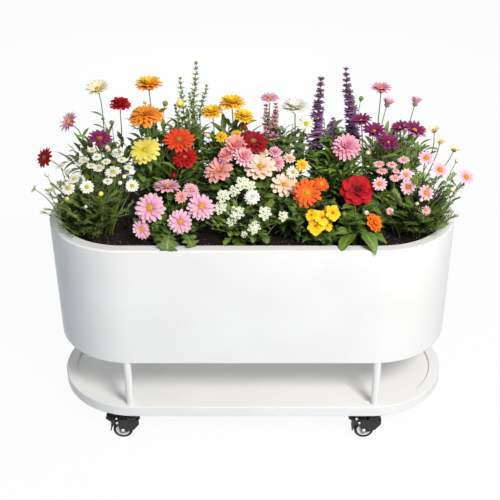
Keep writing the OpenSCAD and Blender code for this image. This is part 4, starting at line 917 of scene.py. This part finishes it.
# Each plant has its slot, its crown as (x, y), and three lists of rows:
# - bushes of leafy shoots as (shoots, height, spread, leaves on each, form, length, width, greens, squash)
# - heads as a kind and its marks: the pixel across and down in the photograph, the depth behind the bed's
#   middle, the width in pixels, tilt, turn and, for a spike, the pixels it runs down
# - single large leaves as (root, heading, rise, length, width, form, green, bend)
PLANTS = {
    "white_daisies": Plant("white", (-388, -80), [(38, 124, 104, 5, "fern", 54, 0, "fern grey fern", 0.8),
        (15, 66, 76, 5, "fern", 64, 0, "young grey sunny", 0.85),
        (11, 34, 66, 4, "fern", 72, 0, "young grey", 0.9)], [
        ("marguerite", (68, 188, -88, 16, 45, -100), (87, 187, -98, 16, 46, -80),
            (132, 186, -84, 15, 46, -80), (113, 172, -74, 18, 14, -100), (99, 168, -60, 14, 16, -120),
            (74, 179, -75, 14, 24, -130), (84, 160, -45, 13, 8, -120), (79, 164, -52, 11, 10, 200),
            (97, 157, -36, 11, 25, -90), (129, 168, -62, 12, 12, -40), (60, 166, -50, 12, 14, -160),
            (34, 189, -64, 10, 50, 190), (52, 190, -78, 10, 30, -160), (108, 181, -90, 11, 20, -90),
            (91, 166, -54, 11, 10, -60), (106, 162, -50, 11, 10, -90), (122, 160, -48, 11, 12, -60)),
        ("white_double", (117, 153, -34, 14, 14, -90)),
        ("marguerite", (92, 150, -28, 10, 10, -90), (67, 171, -60, 10, 12, 180)),
        ("bud_white", (47, 175, -66, 5, 20, 180)),
        ("bud_yellow", (67, 199, -118, 5, 20, -90), (101, 194, -122, 6, 20, -90)),
        ("bud_white", (86, 207, -130, 4, 20, -90), (120, 183, -90, 5, 20, -90),
            (124, 177, -80, 5, 20, -60)),
        ("bud_peach", (107, 148, -30, 6, 10, 0)),
        ("bud_white", (121, 150, -40, 5, 20, 0))]),
    "pink_daisies": Plant("pink", (-195, -105),
        [(22, 84, 94, 7, "lobed", 54, 34, "lobed dark broad", 0.6)], [
        ("pink_daisy", (150, 208, -120, 33, 52, -95), (167, 187, -88, 30, 6, 90),
            (201, 207, -122, 29, 48, -75), (180, 222, -142, 27, 60, -85), (142, 229, -138, 22, 58, -40),
            (191, 190, -84, 17, 35, -60)),
        ("salmon_daisy", (181, 197, -104, 14, 45, -100))], [
        ((-190, -150, 34), -94, 12, 62, 54, "large", "lobed", -95),
        ((-160, -144, 34), -56, 14, 52, 46, "large", "lobed", -80),
        ((-222, -140, 28), -118, 14, 40, 32, "large", "broad", -60)]),
    "candytuft": Plant("white", (-18, -112), [(20, 70, 92, 7, "lobed", 42, 22, "lobed broad", 0.5),
        (26, 94, 88, 5, "fern", 46, 0, "young fern fresh", 0.55)], [
        ("umbel", (242, 183, -92, 13.8, 45, -90), (234, 191, -100, 12.0, 40, -100),
            (223, 196, -108, 13.8, 45, -100), (220, 208, -118, 12.9, 50, -100),
            (237, 213, -130, 14.6, 50, -90), (231, 221, -134, 10.3, 50, -100),
            (265, 213, -124, 13.8, 50, -80), (254, 227, -142, 13.8, 55, -85),
            (250, 186, -96, 11.2, 45, -80)),
        ("white_double", (252, 197, -112, 17, 48, -90)),
        ("umbel_green", (283, 216, -130, 10.3, 50, -80), (244, 234, -146, 6.9, 50, -90))], [
        ((26, -140, 26), -70, 18, 36, 24, "lobed", "lobed", -50),
        ((-50, -142, 22), -110, 18, 34, 24, "lobed", "fresh", -50)]),
    "violas": Plant("yellow", (165, -132), [(16, 44, 60, 6, "ovate", 34, 19, "lobed broad", 0.6)], [
        ("viola", (316, 226, -148, 21, 60, -100), (312, 215, -140, 15, 50, -120),
            (322, 218, -142, 18, 55, -80), (333, 213, -142, 18, 55, -80), (327, 226, -146, 13, 50, -60)),
        ("viola_orange", (328, 209, -135, 9, 40, -80))]),
    "orange_daisies": Plant("orange", (112, -84),
        [(26, 112, 86, 7, "ovate", 56, 27, "lobed dark", 0.75)], [
        ("orange_daisy", (307, 193, -78, 32, 52, -90), (321, 184, -66, 18, 30, -50))]),
    "red_zinnias": Plant("red", (252, -108), [(20, 86, 84, 6, "ovate", 56, 28, "broad lobed", 0.65)], [
        ("anemone_red", (357, 190, -76, 37, 40, -92)),
        ("orange_double", (374, 223, -138, 22, 50, -40)),
        ("bud_peach", (366, 213, -130, 6, 20, -60)),
        ("bud_green", (344, 214, -128, 6, 20, -90))], [
        ((236, -152, 36), -124, 12, 68, 42, "ovate", "broad", -84),
        ((258, -152, 38), -62, 12, 70, 36, "ovate", "broad", -80),
        ((266, -142, 30), -30, 14, 58, 28, "ovate", "broad", -50),
        ((232, -136, 34), 200, 22, 46, 24, "ovate", "broad", -50)]),
    "pale_pink_daisies": Plant("pink", (388, -80),
        [(38, 148, 106, 5, "fern", 56, 0, "sunny fern fresh", 0.8),
        (15, 80, 86, 5, "fern", 70, 0, "sunny young fern", 0.85),
        (12, 38, 74, 4, "fern", 80, 0, "young fresh", 0.9)], [
        ("pale_daisy", (426, 158, -50, 18, 34, -90), (440, 170, -55, 18, 40, -80),
            (466, 177, -55, 19, 40, -60), (404, 160, -46, 14, 10, -100), (379, 164, -60, 13, 6, -110),
            (392, 165, -60, 12, 10, -90), (382, 171, -68, 13, 8, -100), (406, 175, -72, 15, 46, -90),
            (395, 178, -80, 12, 16, -90), (380, 184, -84, 16, 40, -100), (408, 187, -90, 17, 50, -90),
            (426, 193, -104, 17, 50, -85), (390, 211, -128, 9, 46, -90), (426, 210, -112, 11, 46, -80),
            (396, 171, -66, 9, 20, -60)),
        ("bud_peach", (453, 179, -60, 6, 25, 0), (452, 190, -66, 6, 25, 0), (417, 204, -116, 5, 25, -90),
            (421, 200, -110, 5, 25, -90), (457, 161, -50, 5, 25, 0))]),
    "gerberas": Plant("orange", (-205, -15), [(24, 190, 108, 7, "lance", 78, 20, "broad lobed", 0.6),
        (22, 146, 108, 6, "lobed", 60, 35, "dark lobed", 0.6)], [
        ("gerbera_lemon", (145, 150, -22, 37, 30, -120)),
        ("zinnia_orange", (146, 116, -12, 38, 10, -110)),
        ("gerbera_red", (179, 140, -12, 34, 24, -80)),
        ("gerbera_crimson", (185, 158, -32, 27, 32, -90)),
        ("bud_red", (174, 176, -34, 8, 25, -90))]),
    "chrysanthemums": Plant("coral", (-8, -20), [(44, 158, 132, 7, "lobed", 56, 33, "dark lobed", 0.55)], [
        ("mum_coral", (236, 146, -8, 27, 34, -95)),
        ("mum_pink", (244, 156, -30, 23, 40, -70)),
        ("mum_coral", (226, 155, -20, 19, 36, -120)),
        ("salmon_daisy", (219, 171, -34, 32, 26, -125)),
        ("dark_ringed", (253, 142, 6, 34, 22, -75)),
        ("peach_daisy", (260, 167, -32, 34, 27, -90), (284, 185, -30, 29, 36, -80)),
        ("mum_pink", (277, 163, -10, 18, 50, -80)),
        ("peach_daisy", (263, 153, -5, 13, 25, -90)),
        ("mum_pink", (275, 152, -2, 14, 20, -60)),
        ("peach_daisy", (289, 158, 0, 14, 20, -50)),
        ("yellow_small", (302, 165, -14, 14, 45, -80)),
        ("cream_daisy", (293, 172, -20, 15, 45, -90)),
        ("bud_red", (245, 128, 10, 6, 10, 0))]),
    "pink_zinnia": Plant("pink", (200, 0), [(24, 172, 62, 8, "lance", 84, 13, "sunny broad fresh", 0.9),
        (18, 138, 82, 6, "ovate", 58, 26, "dark lobed", 0.9)], [
        ("mum_pale", (346, 147, -4, 31, 36, -90)),
        ("bud_peach", (368, 153, -6, 6, 20, -90))]),
    "magenta_daisies": Plant("magenta", (322, 14),
        [(34, 206, 92, 8, "lance", 58, 14, "fern broad", 0.75)], [
        ("magenta_daisy", (361, 121, 16, 24, 8, -160), (374, 132, 4, 27, 12, -60),
            (388, 143, 0, 25, 18, -60), (400, 128, 20, 20, 14, -150)),
        ("magenta_pale", (414, 131, 14, 27, 22, -30))]),
    "dark_red_daisies": Plant("red", (-365, 72), [(32, 186, 96, 8, "lance", 56, 15, "fern broad", 0.75)], [
        ("dark_red", (45, 158, 50, 24, 54, -140)),
        ("pink_striped", (69, 122, 60, 26, 46, -140)),
        ("magenta_ringed", (100, 139, 48, 26, 16, -60)),
        ("cream_tall", (98, 90, 98, 26, 20, -110)),
        ("crimson_double", (120, 104, 108, 25, 4, -60)),
        ("bud_green", (112, 123, 92, 6, 15, -90), (103, 119, 90, 4, 15, 180)),
        ("bud_peach", (108, 150, 40, 7, 15, -60))]),
    "golden_daisies": Plant("yellow", (-246, 88),
        [(28, 226, 66, 8, "lance", 58, 18, "broad lobed", 0.8)], [
        ("golden_double", (149, 86, 98, 29, 2, -90)),
        ("bud_green", (165, 104, 94, 7, 15, 0)),
        ("bud_brown", (145, 103, 96, 4, 15, 180))]),
    "green_spikes": Plant("yellow", (-165, 90), [(28, 226, 66, 8, "lance", 58, 18, "fresh broad", 0.8)], [
        ("green_spike", (196, 61, 96, 16, 3, 0, 80), (207, 84, 94, 12, 9, 0, 34),
            (189, 92, 94, 11, -6, 0, 34), (180, 76, 92, 15, -2, 0, 62), (175, 104, 90, 10, -6, 0, 26)),
        ("bud_yellow", (180, 104, 76, 9, 10, 0))]),
    "calendulas": Plant("yellow", (-60, 88), [(32, 218, 80, 8, "lance", 62, 19, "broad lobed", 0.75)], [
        ("calendula", (212, 113, 84, 25, 8, -150), (232, 104, 96, 29, 3, -90),
            (243, 117, 74, 23, 16, -30)),
        ("yellow_small", (221, 137, 70, 14, 40, -90), (237, 134, 70, 12, 30, -60)),
        ("bud_peach", (208, 136, 66, 6, 15, 180))]),
    "white_marguerites": Plant("white", (72, 84),
        [(34, 222, 84, 8, "lobed", 48, 23, "lobed broad", 0.75)], [
        ("pink_spike", (266, 104, 98, 14, -3, 0, 36), (276, 103, 94, 14, 2, 0, 40)),
        ("pink_daisy", (270, 98, 92, 21, 4, -90)),
        ("white_large", (295, 109, 92, 29, 3, -90)),
        ("cream_daisy", (306, 124, 64, 19, 42, -80))]),
    "purple_salvia": Plant("purple", (190, 90), [(30, 222, 78, 8, "ovate", 56, 23, "lobed broad", 0.75)], [
        ("salvia_spike", (321, 76, 88, 19, 2, 0, 68), (346, 66, 92, 19, -5, 0, 78),
            (333, 117, 84, 12, 3, 0, 24))]),
    "tall_pink_daisies": Plant("pink", (355, 92),
        [(34, 204, 100, 8, "lance", 54, 14, "fern broad", 0.7)], [
        ("pink_tall", (381, 90, 96, 23, 4, -90)),
        ("pale_cup", (387, 105, 84, 15, 14, -10)),
        ("bud_green", (353, 102, 90, 5, 10, 180), (361, 99, 104, 6, 10, 0)),
        ("pale_cup", (415, 104, 78, 15, 14, 0)),
        ("cream_small", (434, 131, 74, 14, 12, -150), (454, 150, 66, 14, 16, -30),
            (440, 142, 70, 13, 10, -60))]),
}


# How far out from the crown towards its head a stem starts
STEM_START = 0.45
# Up to this radius a bud may stand behind leaves
TINY_BUD = 5


def grow(node):
    """One plant: its heads in one piece, its stems and leaves in another."""
    plant = PLANTS[node]
    heads = Piece(node + "_heads", plant.slot + "_petals", node)
    green = Piece(node + "_greens", "foliage", node)
    crown = np.array([*plant.crown, SOIL_TOP])
    for kind, at, r, tilt, turn, run in heads_of(plant):
        root = crown + (at - crown) * [STEM_START, STEM_START, 0]
        head = Head(heads, green, root, at, r, tilt, turn)
        words = kind.split("_")
        if words[0] == "umbel":
            umbel(head)
        elif words[0] == "bud":
            bud(head, words[1])
        elif words[0] == "viola":
            pansy(head, "tangerine" if words[-1] == "orange" else "yellow")
        elif words[-1] == "spike":
            spire(head, run, words[0])
        else:
            flower(head, kind)
    for row in plant.bushes:
        bush(green, crown, *row)
    for root, heading, rise, length, width, form, shade, bend in plant.leaves:
        spot = np.array(root) + [0, 0, SOIL_TOP]
        foot = np.array([*(np.array(root[:2]) * [0.5, 0.6] + crown[:2] * [0.5, 0.4]), SOIL_TOP - 4])
        stalk = bezier(foot, foot + [0, 0, 0.7 * root[2]], spot - [0, 0, 4], spot, 6)
        green.tube(keep_clear_of_rim(stalk), 0.9, GREEN, 5)
        leaf(green, spot, heading, rise, length, width, form, shades[shade], bend)
    heads.build(50)
    green.build(60)


# The soil: a crumbly surface with clods and chips of bark

CLODS = 520
CRUMBS = 700
# The gap between soil and wall, and the points along and across the top
SOIL_GAP = 1.9
SOIL_MESH = (230, 76)
# Lumps are strewn over a rectangle and kept where they lie inside the bed's outline at this radius
LUMP_X = HALF_STRAIGHT + 160
LUMP_Y = 165
LUMP_R = 164


def soil_height(x, y):
    p = Vector((x * 0.012, y * 0.012, 0.3))
    fine = Vector((x * 0.09, y * 0.09, 4.0))
    return 2.6 * noise.fractal(p, 1.0, 2.0, 4) + 1.7 * noise.fractal(fine, 0.8, 2.0, 3)


def soil_body():
    """The points and faces of the soil: an uneven top, sides down to the floor and a flat underside."""
    radius = WALL_R - SOIL_GAP
    columns, rows = SOIL_MESH
    fine_ends = np.sin(np.linspace(-0.49, 0.49, columns) * math.pi) / math.sin(0.49 * math.pi)
    xs = (HALF_STRAIGHT + radius - 0.4) * (0.35 * fine_ends + 0.65 * np.linspace(-1, 1, columns))
    out = np.maximum(np.abs(xs) - HALF_STRAIGHT, 0)
    half = np.sqrt(np.maximum(radius ** 2 - out ** 2, 40))
    top = np.array([[(x, y, SOIL_TOP + soil_height(x, y) - 1.5) for y in np.linspace(-1, 1, rows) * reach]
                    for x, reach in zip(xs, half)]).reshape(-1, 3)
    a = np.arange(columns * rows).reshape(columns, rows)
    edge = np.concatenate([a[:, 0], a[-1, 1:], a[-2::-1, -1], a[0, -2:0:-1]])
    after = np.roll(edge, -1)
    foot = columns * rows + np.arange(len(edge))
    foot_after = np.roll(foot, -1)
    middle = np.full(len(edge), foot[-1] + 1)
    sides = np.stack([after, edge, foot, foot_after], -1)
    under = np.stack([foot_after, foot, middle, middle], -1)
    low = top[edge] * [1, 1, 0] + [0, 0, FLOOR_TOP]
    return np.concatenate([top, low, [[0, 0, FLOOR_TOP]]]), np.concatenate([quads(a), sides, under])


def inside_bed(x, y):
    return math.hypot(max(abs(x) - HALF_STRAIGHT, 0), y) <= LUMP_R


def on_soil(x, y, sunk):
    """The place on the soil at x and y for a lump that is sunk into it."""
    return np.array([x, y, SOIL_TOP + soil_height(x, y) - sunk])


def make_soil():
    soil = Piece("potting_soil", "soil", "soil")
    points, faces = soil_body()
    soil.add(points, faces, soil_mat, np.ones((len(points), 4)))
    for k in range(CLODS):
        # Clods: low, uneven lumps half sunk in the surface
        x, y = vary(-1, 1) * LUMP_X, vary(-1, 1) * LUMP_Y
        if inside_bed(x, y):
            size = RNG.choice((2.0, 2.6, 3.4, 4.6)) * vary(0.7, 1.2)
            around = turned(vary(0, 60), vary(0, 360), vary(0, 360))
            lump = [(size * 0.5, -size * 0.5), (size * vary(0.8, 1.1), -size * 0.1),
                    (size * vary(0.6, 0.9), size * 0.35), (size * 0.25, size * 0.55)]
            soil.spun(on_soil(x, y, 1.0), around, lump, soil_mat, 7, 0, 0.1)
    for k in range(CRUMBS):
        # Light crumbs of bark and grit
        x, y = vary(-1, 1) * LUMP_X, -RNG.random() ** 0.6 * LUMP_Y
        if inside_bed(x, y):
            size = vary(0.7, 1.7)
            around = turned(vary(0, 70), vary(0, 360), vary(0, 360))
            chip = [(size * 0.4, -size * 0.5), (size, -size * 0.1), (size * 0.7, size * 0.4),
                    (size * 0.2, size * 0.5)]
            soil.spun(on_soil(x, y, 0.6), around, chip, grit_mat, 5, RNG.random())
    soil.build(80)


# The castors and the steel keep their solids and get their finishes

def finish_node(name, shade):
    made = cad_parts[name]
    made.data.materials.clear()
    made.data.materials.append(shade)


for name in ("trough_wall", "trough_floor", "floor_channels", "tray_rail", "shelf_panel", "shelf_channels"):
    finish_node(name, white)
for name in ("post_plugs", "post_bolts", "post_spacers", "castor_stems", "race_balls"):
    finish_node(name, zinc)
finish_node("upper_races", black_paint)
for corner in ("front_left", "front_right", "rear_left", "rear_right"):
    for prefix, shade in (("post_", white), ("fork_", black_paint), ("axle_", zinc), ("hub_", nylon),
                          ("tyre_", rubber), ("brake_pin_", zinc), ("brake_lever_", black_nylon)):
        finish_node(prefix + corner, shade)

for plant in PLANTS.values():
    HEADS += [(*at, r) for kind, at, r, *_ in heads_of(plant) if not kind.endswith("_spike") and r > TINY_BUD]
make_soil()
for plant in PLANTS:
    RNG.seed(SEED + len(plant) * 7 + ord(plant[0]))
    grow(plant)


# The camera stands where the photograph's stood

SENSOR = 36.0
camera = bpy.data.cameras.new("camera")
camera.sensor_width = SENSOR
camera.lens = FOCAL_PX / PHOTO_PX * SENSOR
camera.shift_x = (PHOTO_PX / 2 - CENTRE_PX[0]) / PHOTO_PX
camera.shift_y = (CENTRE_PX[1] - PHOTO_PX / 2) / PHOTO_PX
camera.clip_end = 60
seen = add_object("camera", camera)
seen.location = LENS_AT * MM
seen.rotation_euler = (math.pi / 2 - PITCH, 0, 0)
bpy.context.scene.camera = seen


def lamp(name, place, aim, size, watts, tint):
    """A soft rectangular lamp that faces the point it aims at, in metres."""
    light = bpy.data.lights.new(name, "AREA")
    light.shape = "RECTANGLE"
    light.size, light.size_y = size
    light.energy = watts
    light.color = tint
    made = add_object(name, light)
    made.location = place
    made.rotation_euler = (Vector(aim) - Vector(place)).to_track_quat("-Z", "Y").to_euler()


lamp("key", (1.25, -2.27, 2.86), (0.05, 0, 0.35), (0.95, 0.95), 112, (1.0, 0.985, 0.955))
lamp("top", (0.5, -1.1, 3.3), (0, 0, 0.5), (1.6, 1.6), 12, (1.0, 1.0, 1.0))
lamp("side", (-2.6, -0.6, 1.4), (0, 0, 0.5), (1.2, 1.2), 3.5, (0.45, 0.75, 1.0))
lamp("low", (0.5, -3.1, 0.7), (0, 0, 0.25), (1.6, 0.7), 6, (1.0, 0.99, 0.97))
lamp("back", (-0.3, 3.0, 1.2), (0, 0, 0.3), (1.8, 1.0), 23, (1.0, 0.99, 0.98))


# A white floor that shades a little under the object, and a plain white world

FLOOR_SHOW = 0.95
FLOOR_REACH = 14.0
AMBIENT = 0.15
WHITE = "FFFFFF"

under = Shade("studio_floor", 0.9, 0.1)
under.to("Base Color", under.ramp(under.noise(3, 3), (0.3, "DCE4F0"), (0.7, "DEE6F2")))
rays = under.node("LightPath").outputs
seen_ray = under.math("MAXIMUM", rays["Is Camera Ray"],
                      under.math("MAXIMUM", rays["Is Glossy Ray"], rays["Is Transmission Ray"]))
glow = under.node("Emission", {"Color": WHITE, "Strength": 1.0}).outputs["Emission"]
blend = under.node("MixShader", {0: under.math("MULTIPLY", seen_ray, FLOOR_SHOW),
                                 1: under.shader.outputs["BSDF"], 2: glow}).outputs["Shader"]
under.feed(under.tree.nodes["Material Output"].inputs["Surface"], blend)
floor_mesh = bpy.data.meshes.new("studio_floor")
corners = [(x * FLOOR_REACH, y * FLOOR_REACH, 0) for x, y in ((-1, -1), (1, -1), (1, 1), (-1, 1))]
floor_mesh.from_pydata(corners, [], [(0, 1, 2, 3)])
floor_mesh.materials.append(under.made)
add_object("studio_floor", floor_mesh)

world = bpy.data.worlds.new("studio")
bpy.context.scene.world = world
world.use_nodes = True
sky = Tree(world.node_tree)
sky.tree.nodes.clear()
rays = sky.node("LightPath").outputs
plain_sight = sky.math("MAXIMUM", rays["Is Camera Ray"], rays["Is Glossy Ray"])
back = sky.node("Background", {"Color": WHITE, "Strength": sky.span(plain_sight, 0.0, 1.0, AMBIENT, 1.0)})
sky.node("OutputWorld", {"Surface": back.outputs["Background"]})

bpy.context.scene.view_settings.view_transform = "Standard"
